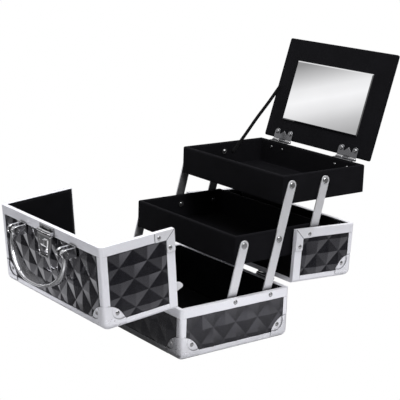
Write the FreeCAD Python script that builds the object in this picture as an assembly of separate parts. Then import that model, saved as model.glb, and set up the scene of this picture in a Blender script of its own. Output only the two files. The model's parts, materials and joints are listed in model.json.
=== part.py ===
import FreeCAD
import Part
import math
import os
from FreeCAD import Vector

# Makeup train case, open on its two lids, with cantilever trays and a mirror lid.
# X is the case's width, +Y its rear and +Z up. It is built round the middle of the base, on the resting plane.
# All sizes are in millimetres and degrees.

# The box
case_width = 240.0
case_depth = 175.0
base_height = 66.0
lid_height = 104.5
front_share = 103.0
seam_gap = 0.5
front_open = 95.4
rear_open = 92.8

# The wall: aluminium skin, board and lining, counted inwards from the frame's outer face
skin = 1.6
board = 3.4
lining = 1.0
edge_leg = 9.0
rim_leg = 12.0
rim_inner_leg = 10.0
rim_web = 2.0
lip_round = 0.5

# The diamond emboss of the outer skin
diamond_short = 36.0
diamond_long = 39.7
diamond_height = 2.0
diamond_base = 0.25
window_gap = 0.2

# Ball corners and their rivets
cap_proud = 1.0
cap_reach = 30.0
cap_round = 9.0
cap_gap = 0.1
ear_middle = 22.5
ear_radius = 12.7
ear_top = 0.3
ear_rivet = 18.2
rivet_head = 2.9
rivet_rise = 1.2
rivet_shank = 1.5

# Plates that tie the two rims of a lid at the seam
plate_leg = 28.5
plate_thick = 1.0
plate_rivet_near = 7.2
plate_rivet_far = 22.7

# Lid hinges
pin_out = 4.0
pin_radius = 1.2
knuckle = 2.6
hinge_place = 66.0
hinge_width = 32.0
leaf_thick = 1.2
running_gap = 0.08
side_gap = 0.3

# Locating tongues on the front lid
tongue_start = 18.4
tongue_width = 12.1
tongue_reach = 13.5
tongue_grip = 11.0
tongue_thick = 1.2
tongue_taper = 3.5

# Handle
handle_span = 60.0
handle_from_front = 85.0
handle_stand = 14.0
handle_drop = 61.0
handle_swell = 10.0
bail_shoulder = 0.45
bail_foot = 0.55
bail_grip = 0.42
bail_corner_round = 40.0
bail_foot_round = 26.0
bail_taper_round = 30.0
bail_thick = 4.0
bail_end_width = 5.0
bail_grip_width = 15.0
bail_eye = 4.2
handle_pin = 2.2
bracket_width = 16.0
bracket_depth = 15.0
bracket_cheek = 3.0
bracket_plate = 1.6
bracket_step = 1.5

# Hasp and catch
hasp_from_seam = 8.0
hasp_leaf_back = 1.0
hasp_shoulder = 10.0
hasp_shoulder_round = 8.0
hasp_foot_round = 3.0
hasp_stand = 3.6
hasp_top_width = 34.0
hasp_foot_width = 24.0
hasp_length = 31.0
hasp_thick = 1.5
hasp_knuckle = 2.2
hasp_pin_radius = 1.0
hasp_window_width = 14.0
hasp_window_height = 8.0
hasp_window_low = 4.5
hasp_lip = 3.0
staple_thick = 2.4
staple_rise = 9.0
staple_side_gap = 1.5
staple_hook = 1.2
staple_hook_tall = 2.0
catch_half = 14.0
catch_round = 3.0

# Arms and trays
arm_length = 71.5
arm_lean = 14.3
arm_fold = 71.0
arm_width = 13.6
arm_thick = 2.0
arm_pivot_from_front = 85.0
arm_pivot_below_rim = 4.6
arm_rivet = 2.0
arm_rivet_head = 4.2
arm_rivet_collar = 5.0
arm_gap = 0.08
arm_wall_gap = 2.2
tray_slack = 29.8
tray_height = 38.0
tray_wall = 5.0
tray_floor = 3.0
tray_pivot_from_front = 13.0
tray_pivot_from_rear = 16.2
tray_pivot_up = 24.9
washer = 0.8
rivet_tail = 1.0

# Mirror lid
mirror_open = 107.2
mirror_board = 5.0
mirror_lid_gap = 2.0
mirror_overhang = 3.0
mirror_pin_back = 3.4
mirror_pin_radius = 0.9
mirror_knuckle = 1.7
mirror_glass_width = 155.0
mirror_glass_depth = 88.0
mirror_glass_thick = 2.0
mirror_glass_up = 29.5
mirror_hinge_place = 67.5
mirror_hinge_width = 38.0
mirror_leaf = 16.0
mirror_leaf_thick = 0.8
ribbon_width = 6.0
ribbon_thick = 0.8
ribbon_from_hinge = 57.0
ribbon_below_top = 14.0
ribbon_on_lid = 70.9

# Worked out from the sizes above
half_w = case_width / 2
half_d = case_depth / 2
inset = skin + board
wall = inset + lining
z_bottom = cap_proud
z_rim = z_bottom + base_height
z_mate = z_rim + seam_gap
z_top = z_mate + lid_height
z_pin = z_rim + seam_gap / 2
pin_y = half_d + pin_out
hinge_leaf = rim_leg - knuckle
knuckle_half = hinge_width / 6
rear_share = case_depth - front_share
handle_bulge = handle_span + handle_swell
hasp_pivot = front_share - hasp_from_seam
tray_side = half_w - wall - arm_wall_gap - arm_thick - washer
tray_depth = case_depth - tray_slack
arm_inner = tray_side + washer
arm_outer = arm_inner + arm_thick
arm_spacing = (tray_depth - tray_pivot_from_front - tray_pivot_from_rear) / 2
arm_pivot_front = -half_d + arm_pivot_from_front
arm_z = z_rim - arm_pivot_below_rim
arm_dy = arm_length * math.sin(math.radians(arm_lean))
arm_dz = arm_length * math.cos(math.radians(arm_lean))
lower_front = arm_pivot_front + arm_dy - tray_pivot_from_front
lower_bottom = arm_z + arm_dz - tray_pivot_up
upper_front = arm_pivot_front + arm_spacing + 2 * arm_dy - tray_pivot_from_front
upper_bottom = lower_bottom + arm_dz
mirror_pin_y = upper_front + tray_depth + mirror_pin_back
mirror_pin_z = upper_bottom + tray_height + mirror_lid_gap / 2

X = Vector(1, 0, 0)
Y = Vector(0, 1, 0)
Z = Vector(0, 0, 1)
front_hinge_line = Vector(0, -pin_y, z_pin)
rear_hinge_line = Vector(0, pin_y, z_pin)
pieces = {}


# Helpers

def keep(name, shapes):
    """Stores the solids of one node."""
    pieces[name] = Part.makeCompound(shapes)


def block(low, high):
    """A box from its lowest to its highest corner."""
    size = Vector(*high) - Vector(*low)
    return Part.makeBox(size.x, size.y, size.z, Vector(*low))


def rod(radius, start, end):
    """A cylinder from one point to another."""
    axis = Vector(*end) - Vector(*start)
    return Part.makeCylinder(radius, axis.Length, Vector(*start), axis)


def placed(shape, origin, first, second):
    """The shape with its own X and Y laid along two directions from an origin."""
    third = first.cross(second)
    matrix = FreeCAD.Matrix(first.x, second.x, third.x, origin.x,
                            first.y, second.y, third.y, origin.y,
                            first.z, second.z, third.z, origin.z,
                            0, 0, 0, 1)
    moved = shape.copy()
    moved.Placement = FreeCAD.Placement(matrix).multiply(moved.Placement)
    return moved


def outline(corners):
    """A flat face in XY from corners (x, y) or (x, y, rounding)."""
    count = len(corners)
    points = [Vector(c[0], c[1], 0) for c in corners]
    edges = []
    ends = []
    for i, corner in enumerate(corners):
        here = points[i]
        radius = corner[2] if len(corner) > 2 else 0
        before = (points[i - 1] - here).normalize()
        after = (points[(i + 1) % count] - here).normalize()
        if radius == 0:
            ends.append((here, None, here))
            continue
        half = before.getAngle(after) / 2
        reach = radius / math.tan(half)
        middle = here + (before + after).normalize() * (radius / math.sin(half) - radius)
        ends.append((here + before * reach, middle, here + after * reach))
    for i in range(count):
        start, middle, end = ends[i]
        if middle is not None:
            edges.append(Part.Arc(start, middle, end).toShape())
        following = ends[(i + 1) % count][0]
        if (following - end).Length > 1e-6:
            edges.append(Part.LineSegment(end, following).toShape())
    return Part.Face(Part.Wire(edges))


def turned(shape, point, angle):
    """The shape turned about a line along X."""
    moved = shape.copy()
    moved.rotate(point, X, angle)
    return moved


def to_rear(shape):
    """The shape turned half a turn about Z, from the front of the case to its rear."""
    moved = shape.copy()
    moved.rotate(Vector(0, 0, 0), Z, 180)
    return moved


def mirrored(shape):
    """The shape on the other side of the case."""
    return shape.mirror(Vector(0, 0, 0), X)


def both_sides(shape):
    return [shape, mirrored(shape)]


def trimmed(shape, point, normal):
    """The shape without what lies beyond a plane, on the side its normal points to."""
    size = 4 * (case_width + case_depth + lid_height)
    slab = Part.makeBox(size, size, size, Vector(-size / 2, -size / 2, 0))
    slab.Placement = FreeCAD.Placement(Vector(*point), FreeCAD.Rotation(Z, Vector(*normal)))
    return shape.cut(slab)


# The frame's bars

def channel_bar(middle, inward, away, length):
    """A rim channel, straddling a wall's edge: its web on the edge and its two legs on the wall's faces."""
    face = outline([(0, 0, lip_round), (0, rim_leg, lip_round), (skin, rim_leg), (skin, rim_web),
                    (inset, rim_web), (inset, rim_inner_leg), (wall, rim_inner_leg), (wall, 0, lip_round)])
    bar = face.extrude(Vector(0, 0, length))
    bar.translate(Vector(0, 0, -length / 2))
    return placed(bar, Vector(*middle), inward, away)


def angle_bar(corner, first, second, length):
    """An edge angle with a rounded back, starting at a corner and running along first x second."""
    face = outline([(0, 0, inset), (edge_leg, 0, lip_round), (edge_leg, skin), (skin, skin, board),
                    (skin, edge_leg), (0, edge_leg, lip_round)])
    return placed(face.extrude(Vector(0, 0, length)), Vector(*corner), first, second)


def ball_room(corner):
    """The space that a ball corner takes out of the bars under it."""
    return Part.makeSphere(cap_reach + cap_gap, Vector(*corner))


def ball_corner(corner, first, second):
    """A ball corner cap with three ears, its corner on the frame's outer corner."""
    reach = cap_reach + 2
    cap = Part.makeBox(reach, reach, reach, Vector(-cap_proud, -cap_proud, -cap_proud))
    tip = Vector(-cap_proud, -cap_proud, -cap_proud)
    edges = [e for e in cap.Edges if any((v.Point - tip).Length < 1e-6 for v in e.Vertexes)]
    cap = cap.makeFillet(cap_round, edges)
    hollow = Part.makeBox(reach, reach, reach, Vector(skin, skin, skin))
    tip = Vector(skin, skin, skin)
    edges = [e for e in hollow.Edges if any((v.Point - tip).Length < 1e-6 for v in e.Vertexes)]
    cap = cap.cut(hollow.makeFillet(board, edges))
    cap = cap.common(Part.makeSphere(cap_reach, Vector(0, 0, 0)))
    for turn in range(3):
        well = Part.makeCylinder(ear_radius, cap_proud + ear_top + 1,
                                 Vector(ear_middle, ear_middle, -cap_proud - 1), Z)
        hole = Part.makeCylinder(rivet_shank, skin + cap_proud + 1,
                                 Vector(ear_rivet, ear_rivet, -cap_proud), Z)
        well = well.fuse(hole)
        well.rotate(Vector(0, 0, 0), Vector(1, 1, 1), 120 * turn)
        cap = cap.cut(well)
    return placed(cap, Vector(*corner), first, second)


def dome_rivet(shank_depth):
    """A dome-headed rivet at the origin: head along -Z and shank along +Z."""
    ball_radius = (rivet_head ** 2 + rivet_rise ** 2) / (2 * rivet_rise)
    head = Part.makeSphere(ball_radius, Vector(0, 0, ball_radius - rivet_rise))
    head = head.common(Part.makeCylinder(rivet_head, rivet_rise + 1, Vector(0, 0, -rivet_rise - 1), Z))
    shank = Part.makeCylinder(rivet_shank - running_gap, shank_depth, Vector(0, 0, 0), Z)
    return head.fuse(shank).removeSplitter()


def ear_rivets(corner, first, second):
    """The three rivets of one ball corner."""
    found = []
    for turn in range(3):
        rivet = dome_rivet(skin - ear_top)
        rivet.translate(Vector(ear_rivet, ear_rivet, ear_top))
        rivet.rotate(Vector(0, 0, 0), Vector(1, 1, 1), 120 * turn)
        found.append(placed(rivet, Vector(*corner), first, second))
    return found


# Boards with the diamond skin

def diamonds(low_x, low_y, high_x, high_y, vertex, period_x, period_y):
    """A field of low square pyramids inside a rectangle, with a meeting of eight ridges at the vertex."""
    length = 2 * math.hypot(high_x - low_x, high_y - low_y)
    normal_length = math.hypot(1 / period_x, 1 / period_y)
    spacing = 1 / normal_length
    teeth = int(length / spacing / 2) + 2
    foot = -board / 2
    fields = []
    for sense in (1, -1):
        across = Vector(1 / period_x, sense / period_y, 0) * spacing
        along = Vector(-across.y, across.x, 0)
        profile = [(-teeth * spacing, foot)]
        for k in range(-teeth, teeth):
            profile.append((k * spacing, diamond_base))
            profile.append(((k + 0.5) * spacing, diamond_base + diamond_height))
        profile.append((teeth * spacing, diamond_base))
        profile.append((teeth * spacing, foot))
        points = [across * s + Z * h + Vector(vertex[0], vertex[1], 0) - along * length for s, h in profile]
        ring = Part.makePolygon(points + points[:1])
        fields.append(Part.Face(ring).extrude(along * (2 * length)))
    room = block((low_x, low_y, foot), (high_x, high_y, diamond_base + diamond_height))
    return fields[0].common(fields[1]).common(room)


def panel(width, height, window, vertex, periods, ears):
    """A board in XY with its lower left corner at the origin and its diamond face towards +Z.

    window gives the margins left, below, right and above that the frame covers. ears lists the board's
    corners (x, y) that have a ball corner, as places of the frame's outer corner.
    """
    left, below, right, above = window
    field = diamonds(left + window_gap, below + window_gap, width - right - window_gap,
                     height - above - window_gap, vertex, *periods)
    for x, y in ears:
        field = field.cut(Part.makeCylinder(cap_reach + window_gap, 4 * board, Vector(x, y, 0), Z))
    slab = Part.makeBox(width, height, board, Vector(0, 0, -board))
    return slab.fuse(field).removeSplitter()


# The base

def base_panels():
    low = z_bottom + inset
    high = z_rim - rim_web
    margin = edge_leg - inset
    above = rim_leg - rim_web
    tall = high - low
    long_face = case_width - 2 * inset
    short_face = case_depth - 2 * inset
    corner = -inset

    def wall_panel(length):
        ears = [(corner, corner), (length - corner, corner)]
        window = (margin, margin, margin, above)
        return panel(length, tall, window, (length / 2, tall / 2), (diamond_short, diamond_long), ears)

    front = placed(wall_panel(long_face), Vector(-long_face / 2, -half_d + skin, low), X, Z)
    side = placed(wall_panel(short_face), Vector(half_w - skin, -short_face / 2, low), Y, Z)
    holes = [rod(arm_rivet + running_gap, (0, y, arm_z), (case_width, y, arm_z)) for y in arm_base_places()]
    side = side.cut(Part.makeCompound(holes))
    keep("base_front_panel", [front])
    keep("base_rear_panel", [to_rear(front)])
    keep("base_right_panel", [side])
    keep("base_left_panel", [mirrored(side)])
    floor = block((-long_face / 2, -short_face / 2, z_bottom + skin),
                  (long_face / 2, short_face / 2, z_bottom + inset))
    keep("base_floor_board", [floor])


def arm_base_places():
    """How far back the two arms of a side stand on the base."""
    return [arm_pivot_front, arm_pivot_front + arm_spacing]


def base_corners():
    """The base's four lower corners with two directions along their edges, each set right-handed."""
    return [((half_w, half_d, z_bottom), -X, -Y), ((-half_w, half_d, z_bottom), -Y, X),
            ((-half_w, -half_d, z_bottom), X, Y), ((half_w, -half_d, z_bottom), Y, -X)]


def base_frame():
    corners = base_corners()
    rooms = Part.makeCompound([ball_room(c[0]) for c in corners])
    bars = []
    for corner, first, second in corners:
        post = angle_bar(corner, first, second, base_height - rim_leg)
        run = case_depth if abs(first.y) > 0 else case_width
        bottom = angle_bar(corner, second, first.cross(second), run)
        bars += [post.cut(rooms), bottom.cut(rooms)]
    keep("base_edge_bars", bars)

    rounded = outline([(-half_w, -half_d, inset), (half_w, -half_d, inset),
                       (half_w, half_d, inset), (-half_w, half_d, inset)])
    column = rounded.extrude(Z * (2 * z_rim))
    front = channel_bar((0, -half_d, z_rim), Y, -Z, case_width)
    side = channel_bar((half_w, 0, z_rim), -X, -Z, case_depth)
    for sign in (1, -1):
        front = trimmed(front, (sign * half_w, -half_d, z_rim), (sign, 1, 0))
        side = trimmed(side, (half_w, sign * half_d, z_rim), (-1, sign, 0))
    holes = [rod(arm_rivet + running_gap, (0, y, arm_z), (case_width, y, arm_z)) for y in arm_base_places()]
    side = side.cut(Part.makeCompound(holes))
    front = front.common(column)
    side = side.common(column)
    keep("base_rim", [front, to_rear(front)] + both_sides(side))
    keep("base_corner_caps", [ball_corner(*c) for c in corners])
    rivets = []
    for c in corners:
        rivets += ear_rivets(*c)
    keep("base_cap_rivets", rivets)


def base_lining():
    low = z_bottom + inset
    x = half_w - inset
    y = half_d - inset
    top = z_rim - rim_inner_leg
    floor = block((-x, -y, low), (x, y, low + lining))
    side = block((x - lining, -y, low + lining), (x, y, top))
    front = block((-x + lining, -y, low + lining), (x - lining, -y + lining, top))
    keep("base_lining", [floor, front, to_rear(front)] + both_sides(side))


def arm_base_rivets():
    """Shouldered rivets: a head outside the rim, a collar inside it, and a tail that traps the arm."""
    rivets = []
    inner_wall = half_w - wall
    for y in arm_base_places():
        head = rod(arm_rivet_head, (half_w, y, arm_z), (half_w + rivet_rise, y, arm_z))
        head = head.makeFillet(rivet_rise * 0.8, [max(head.Edges, key=lambda e: e.CenterOfMass.x)])
        shank = rod(arm_rivet, (arm_inner - arm_gap, y, arm_z), (half_w, y, arm_z))
        collar = rod(arm_rivet_collar, (arm_outer + arm_gap, y, arm_z), (inner_wall, y, arm_z))
        tail = rod(arm_rivet_head, (arm_inner - arm_gap - rivet_tail, y, arm_z),
                   (arm_inner - arm_gap, y, arm_z))
        rivets += both_sides(head.multiFuse([shank, collar, tail]).removeSplitter())
    keep("arm_base_rivets", rivets)


# Lid hinges, built at the front with the case closed

def base_leaf(place):
    middle = knuckle_half
    face_y = -half_d
    plate = block((place - hinge_width / 2, face_y - leaf_thick, z_pin - knuckle - hinge_leaf),
                  (place + hinge_width / 2, face_y, z_pin - side_gap))
    for low, high in ((-hinge_width / 2, -middle - side_gap), (middle + side_gap, hinge_width / 2)):
        tube = rod(knuckle, (place + low, -pin_y, z_pin), (place + high, -pin_y, z_pin))
        web = block((place + low, -pin_y, z_pin - knuckle), (place + high, face_y, z_pin - side_gap))
        plate = plate.fuse(tube.fuse(web))
    plate = plate.cut(rod(knuckle + side_gap, (place - middle - side_gap, -pin_y, z_pin),
                          (place + middle + side_gap, -pin_y, z_pin)))
    return plate.cut(hinge_pin_room(place)).removeSplitter()


def lid_leaf(place):
    middle = knuckle_half
    face_y = -half_d
    plate = block((place - hinge_width / 2, face_y - leaf_thick, z_pin + side_gap),
                  (place + hinge_width / 2, face_y, z_pin + knuckle + hinge_leaf))
    tube = rod(knuckle, (place - middle, -pin_y, z_pin), (place + middle, -pin_y, z_pin))
    web = block((place - middle, -pin_y, z_pin + side_gap), (place + middle, face_y, z_pin + knuckle))
    plate = plate.fuse(tube.fuse(web))
    for low, high in ((-hinge_width / 2 - 1, -middle), (middle, hinge_width / 2 + 1)):
        plate = plate.cut(rod(knuckle + side_gap, (place + low, -pin_y, z_pin), (place + high, -pin_y, z_pin)))
    return plate.cut(hinge_pin_room(place)).removeSplitter()


def hinge_pin_room(place):
    return rod(pin_radius + running_gap, (place - hinge_width, -pin_y, z_pin),
               (place + hinge_width, -pin_y, z_pin))


def hinge_pin(place):
    return rod(pin_radius, (place - hinge_width / 2, -pin_y, z_pin), (place + hinge_width / 2, -pin_y, z_pin))


def hinges():
    places = (-hinge_place, hinge_place)
    leaves = [base_leaf(p) for p in places]
    pins = [hinge_pin(p) for p in places]
    keep("base_hinge_leaves", leaves + [to_rear(s) for s in leaves])
    keep("lid_hinge_pins", pins + [to_rear(s) for s in pins])


# The lids, built closed at the front of the case and then turned to where they stand

def lid_walls(name, share, swing):
    """A lid's four boards."""
    seam = -half_d + share - seam_gap / 2
    low = z_mate + rim_web
    high = z_top - inset
    tall = high - low
    long_face = case_width - 2 * inset
    deep = seam - rim_web - (-half_d + inset)
    margin = edge_leg - inset
    at_rim = rim_leg - rim_web
    out = -inset
    square = (diamond_short, diamond_long)

    top_ears = [(out, out), (long_face - out, out)]
    top = panel(long_face, deep, (margin, margin, margin, at_rim),
                (long_face / 2, diamond_long - inset), square, top_ears)
    top = placed(top, Vector(-long_face / 2, -half_d + inset, z_top - skin), X, Y)

    end_ears = [(out, tall - out), (long_face - out, tall - out)]
    end = panel(long_face, tall, (margin, at_rim, margin, margin), (long_face / 2, diamond_long - rim_web),
                square, end_ears)
    end = placed(end, Vector(-long_face / 2, -half_d + skin, low), X, Z)

    side = panel(deep, tall, (margin, at_rim, at_rim, margin), (diamond_short - inset, diamond_long - rim_web),
                 square, [(out, tall - out)])
    side = placed(side, Vector(half_w - skin, -half_d + inset, low), Y, Z)
    keep(name + "_top_panel", [swing(top)])
    keep(name + "_end_panel", [swing(end)])
    sides = [swing(s) for s in both_sides(side)]
    right = max(sides, key=lambda s: s.BoundBox.Center.x)
    left = min(sides, key=lambda s: s.BoundBox.Center.x)
    keep(name + "_right_panel", [right])
    keep(name + "_left_panel", [left])


def lid_frame(name, share, swing):
    """A lid's edge angles, rims, ball corners, corner plates and rivets."""
    seam = -half_d + share - seam_gap / 2
    depth = seam + half_d
    corner = (half_w, -half_d, z_top)
    corners = [(corner, -X, Y), ((-half_w, -half_d, z_top), Y, X)]
    rooms = Part.makeCompound([ball_room(c[0]) for c in corners])
    along_y = angle_bar(corner, -Z, -X, depth - rim_leg)
    along_z = angle_bar(corner, -X, Y, z_top - z_mate - rim_leg)
    along_x = angle_bar(corner, Y, -Z, case_width)
    bars = both_sides(along_y.cut(rooms)) + both_sides(along_z.cut(rooms)) + [along_x.cut(rooms)]
    keep(name + "_edge_bars", [swing(b) for b in bars])

    plan = outline([(-half_w, -half_d, inset), (half_w, -half_d, inset), (half_w, half_d), (-half_w, half_d)])
    plan = plan.extrude(Z * (2 * z_top))
    front_view = outline([(-half_w, 0), (half_w, 0), (half_w, z_top, inset), (-half_w, z_top, inset)])
    front_view = placed(front_view.extrude(Vector(0, 0, 2 * case_depth)), Vector(0, case_depth, 0), X, Z)
    mate_front = channel_bar((0, -half_d, z_mate), Y, Z, case_width)
    seam_top = channel_bar((0, seam, z_top), -Z, -Y, case_width)
    for sign in (1, -1):
        mate_front = trimmed(mate_front, (sign * half_w, -half_d, z_mate), (sign, 1, 0))
        seam_top = trimmed(seam_top, (sign * half_w, seam, z_top), (sign, 0, -1))
    mate_side = channel_bar((half_w, (seam - half_d) / 2, z_mate), -X, Z, depth)
    mate_side = trimmed(mate_side, (half_w, -half_d, z_mate), (-1, -1, 0))
    mate_side = trimmed(mate_side, (half_w, seam, z_mate), (0, 1, 1))
    seam_side = channel_bar((half_w, seam, (z_mate + z_top) / 2), -X, -Y, z_top - z_mate)
    seam_side = trimmed(seam_side, (half_w, seam, z_mate), (0, -1, -1))
    seam_side = trimmed(seam_side, (half_w, seam, z_top), (-1, 0, 1))
    rims = [mate_front.common(plan), seam_top.common(front_view)]
    rims += both_sides(mate_side.common(plan)) + both_sides(seam_side.common(front_view))
    keep(name + "_rim", [swing(r) for r in rims])

    keep(name + "_corner_caps", [swing(ball_corner(*c)) for c in corners])
    rivets = []
    for c in corners:
        rivets += ear_rivets(*c)
    tie = outline([(0, 0), (0, plate_leg, 2), (rim_leg, plate_leg, 2), (rim_leg, rim_leg, 2),
                   (plate_leg, rim_leg, 2), (plate_leg, 0, 2)])
    tie = tie.extrude(Vector(0, 0, plate_thick))
    places = [(plate_rivet_near, plate_rivet_far), (plate_rivet_far, plate_rivet_near)]
    for a, b in places:
        tie = tie.cut(Part.makeCylinder(rivet_shank, plate_thick, Vector(a, b, 0), Z))
    tie = placed(tie, Vector(half_w, seam, z_mate), -Y, Z)
    tie = placed_on_side(tie)
    keep(name + "_corner_plates", [swing(t) for t in both_sides(tie)])
    for a, b in places:
        rivet = placed(dome_rivet(plate_thick), Vector(half_w + plate_thick, seam - a, z_mate + b), Y, -Z)
        rivets += both_sides(rivet)
    keep(name + "_rivets", [swing(r) for r in rivets])


def placed_on_side(shape):
    """Moves a plate that was raised towards -X so that it stands proud of the case's side instead."""
    over = shape.BoundBox.XMax - half_w
    moved = shape.copy()
    moved.translate(X * (plate_thick - over))
    return moved


def lid_lining(name, share, swing):
    seam = -half_d + share - seam_gap / 2
    x = half_w - inset
    y = -half_d + inset
    low = z_mate + rim_inner_leg
    high = z_top - inset
    back = seam - rim_inner_leg
    top = block((-x, y, high - lining), (x, back, high))
    end = block((-x + lining, y, low), (x - lining, y + lining, high - lining))
    side = block((x - lining, y, low), (x, back, high - lining))
    keep(name + "_lining", [swing(s) for s in [top, end] + both_sides(side)])


def lid(name, share, swing):
    lid_walls(name, share, swing)
    lid_frame(name, share, swing)
    lid_lining(name, share, swing)
    keep(name + "_hinge_leaves", [swing(lid_leaf(p)) for p in (-hinge_place, hinge_place)])


def open_front(shape):
    return turned(shape, front_hinge_line, front_open)


def open_rear(shape):
    return turned(to_rear(shape), rear_hinge_line, -rear_open)


def locating_tongues():
    """Two flat tongues inside the front lid's side walls, which guide it onto the base."""
    blade = outline([(0, tongue_grip), (0, -tongue_reach + tongue_taper), (tongue_taper, -tongue_reach),
                     (tongue_width - tongue_taper, -tongue_reach), (tongue_width, -tongue_reach + tongue_taper),
                     (tongue_width, tongue_grip)])
    blade = blade.extrude(Vector(0, 0, tongue_thick))
    inner_wall = half_w - wall
    blade = placed(blade, Vector(inner_wall - tongue_thick, -half_d + tongue_start, z_mate), Y, Z)
    keep("locating_tongues", [open_front(s) for s in both_sides(blade)])


# The handle and the hasp on the front lid's top

def on_front_top(x, from_front, stand):
    """A point above the front lid's top panel, where the lid stands open."""
    point = Part.Vertex(x, -half_d + from_front, z_top + stand)
    return open_front(point).Point


def handle():
    """A broad bail on two cheeked brackets, hanging straight down from its pins."""
    side = bracket_width / 2
    brackets = []
    pins = []
    y = -half_d + handle_from_front
    seat = z_top - skin + diamond_base + diamond_height
    for sign in (1, -1):
        x = sign * handle_span
        bracket = block((x - side, y - bracket_depth / 2, seat),
                        (x + side, y + bracket_depth / 2, seat + bracket_plate))
        for low in (x - side, x + side - bracket_cheek):
            cheek = rod(bracket_depth / 2 - bracket_step, (low, y, z_top + handle_stand),
                        (low + bracket_cheek, y, z_top + handle_stand))
            stem = block((low, y - bracket_depth / 2 + bracket_step, seat),
                         (low + bracket_cheek, y + bracket_depth / 2 - bracket_step, z_top + handle_stand))
            bracket = bracket.fuse(cheek.fuse(stem))
        axis = ((x - side, y, z_top + handle_stand), (x + side, y, z_top + handle_stand))
        bracket = bracket.cut(rod(handle_pin, *axis)).removeSplitter()
        brackets.append(open_front(bracket))
        pins.append(open_front(rod(handle_pin, *axis)))
    keep("handle_brackets", brackets)
    keep("handle_pins", pins)

    inner_side = handle_bulge - bail_thick
    low = handle_drop
    shoulder = handle_drop * bail_shoulder
    inner_corner = bail_corner_round - bail_thick
    inner_foot = bail_foot_round - bail_thick
    outer = outline([(-handle_span - bail_thick / 2, 0), (-handle_bulge, -shoulder, bail_corner_round),
                     (-handle_bulge * bail_foot, -low, bail_foot_round),
                     (handle_bulge * bail_foot, -low, bail_foot_round),
                     (handle_bulge, -shoulder, bail_corner_round), (handle_span + bail_thick / 2, 0)])
    inner = outline([(-handle_span + bail_thick / 2, 1), (-inner_side, -shoulder, inner_corner),
                     (-inner_side * bail_foot, -low + bail_thick, inner_foot),
                     (inner_side * bail_foot, -low + bail_thick, inner_foot),
                     (inner_side, -shoulder, inner_corner), (handle_span - bail_thick / 2, 1)])
    band = outer.cut(inner).extrude(Vector(0, 0, bail_grip_width))
    band.translate(Vector(0, 0, -bail_grip_width / 2))
    thin = bail_end_width / 2
    broad = bail_grip_width / 2
    grip = handle_bulge * bail_grip
    bend = bail_taper_round
    right = [(-handle_span, thin, bend), (-grip, broad, bend), (grip, broad, bend), (handle_span, thin, bend)]
    left = [(x, -z, r) for x, z, r in reversed(right)]
    taper = outline([(-handle_bulge - 1, -thin), (-handle_bulge - 1, thin), *right, (handle_bulge + 1, thin),
                     (handle_bulge + 1, -thin), *left])
    taper = placed(taper.extrude(Vector(0, 0, 2 * handle_drop)), Vector(0, handle_drop / 2, 0), X, Z)
    bail = band.common(taper)
    gap = bracket_width / 2 - bracket_cheek - side_gap
    for sign in (1, -1):
        eye = rod(bail_eye, (sign * handle_span - gap, 0, 0), (sign * handle_span + gap, 0, 0))
        bail = bail.fuse(eye)
    bail = bail.cut(rod(handle_pin + running_gap, (-handle_bulge, 0, 0), (handle_bulge, 0, 0))).removeSplitter()
    keep("handle_bail", [placed(bail, on_front_top(0, handle_from_front, handle_stand), X, Z)])


def hasp():
    """A hasp plate with a window, hanging from a leaf on the front lid's seam rim."""
    y = -half_d + hasp_pivot
    pivot = z_top + hasp_stand
    half = hasp_top_width / 2
    third = hasp_top_width / 6
    leaf = block((-half, y, z_top), (half, -half_d + front_share - hasp_leaf_back, z_top + leaf_thick))
    for low, high in ((-half, -third - side_gap), (third + side_gap, half)):
        tube = rod(hasp_knuckle, (low, y, pivot), (high, y, pivot))
        web = block((low, y, z_top), (high, y + hasp_knuckle, pivot))
        leaf = leaf.fuse(tube.fuse(web))
    leaf = leaf.cut(rod(hasp_knuckle + side_gap, (-third - side_gap, y, pivot), (third + side_gap, y, pivot)))
    leaf = leaf.cut(rod(hasp_pin_radius, (-half, y, pivot), (half, y, pivot))).removeSplitter()
    keep("hasp_leaf", [open_front(leaf)])
    keep("hasp_pin", [open_front(rod(hasp_pin_radius, (-half, y, pivot), (half, y, pivot)))])

    foot = hasp_foot_width / 2
    top = -hasp_knuckle - side_gap
    plate = outline([(-half, top, hasp_thick), (-half, top - hasp_shoulder, hasp_shoulder_round),
                     (-foot, -hasp_length, hasp_foot_round), (foot, -hasp_length, hasp_foot_round),
                     (half, top - hasp_shoulder, hasp_shoulder_round), (half, top, hasp_thick)])
    window_top = -hasp_length + hasp_window_low + hasp_window_height
    hole = outline([(-hasp_window_width / 2, -hasp_length + hasp_window_low, 1),
                    (hasp_window_width / 2, -hasp_length + hasp_window_low, 1),
                    (hasp_window_width / 2, window_top, 1), (-hasp_window_width / 2, window_top, 1)])
    plate = plate.cut(hole).extrude(Vector(0, 0, hasp_thick))
    plate.translate(Vector(0, 0, -hasp_thick / 2))
    lip = block((-foot + hasp_foot_round, -hasp_length, -hasp_thick / 2),
                (foot - hasp_foot_round, -hasp_length + hasp_thick, hasp_lip))
    tube = rod(hasp_knuckle, (-third, 0, 0), (third, 0, 0))
    neck = block((-third, top - 1, -hasp_thick / 2), (third, 0, hasp_thick / 2))
    plate = plate.multiFuse([lip, tube, neck])
    plate = plate.cut(rod(hasp_pin_radius + running_gap, (-half, 0, 0), (half, 0, 0))).removeSplitter()
    keep("hasp_plate", [placed(plate, on_front_top(0, hasp_pivot, hasp_stand), X, Z)])


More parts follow.
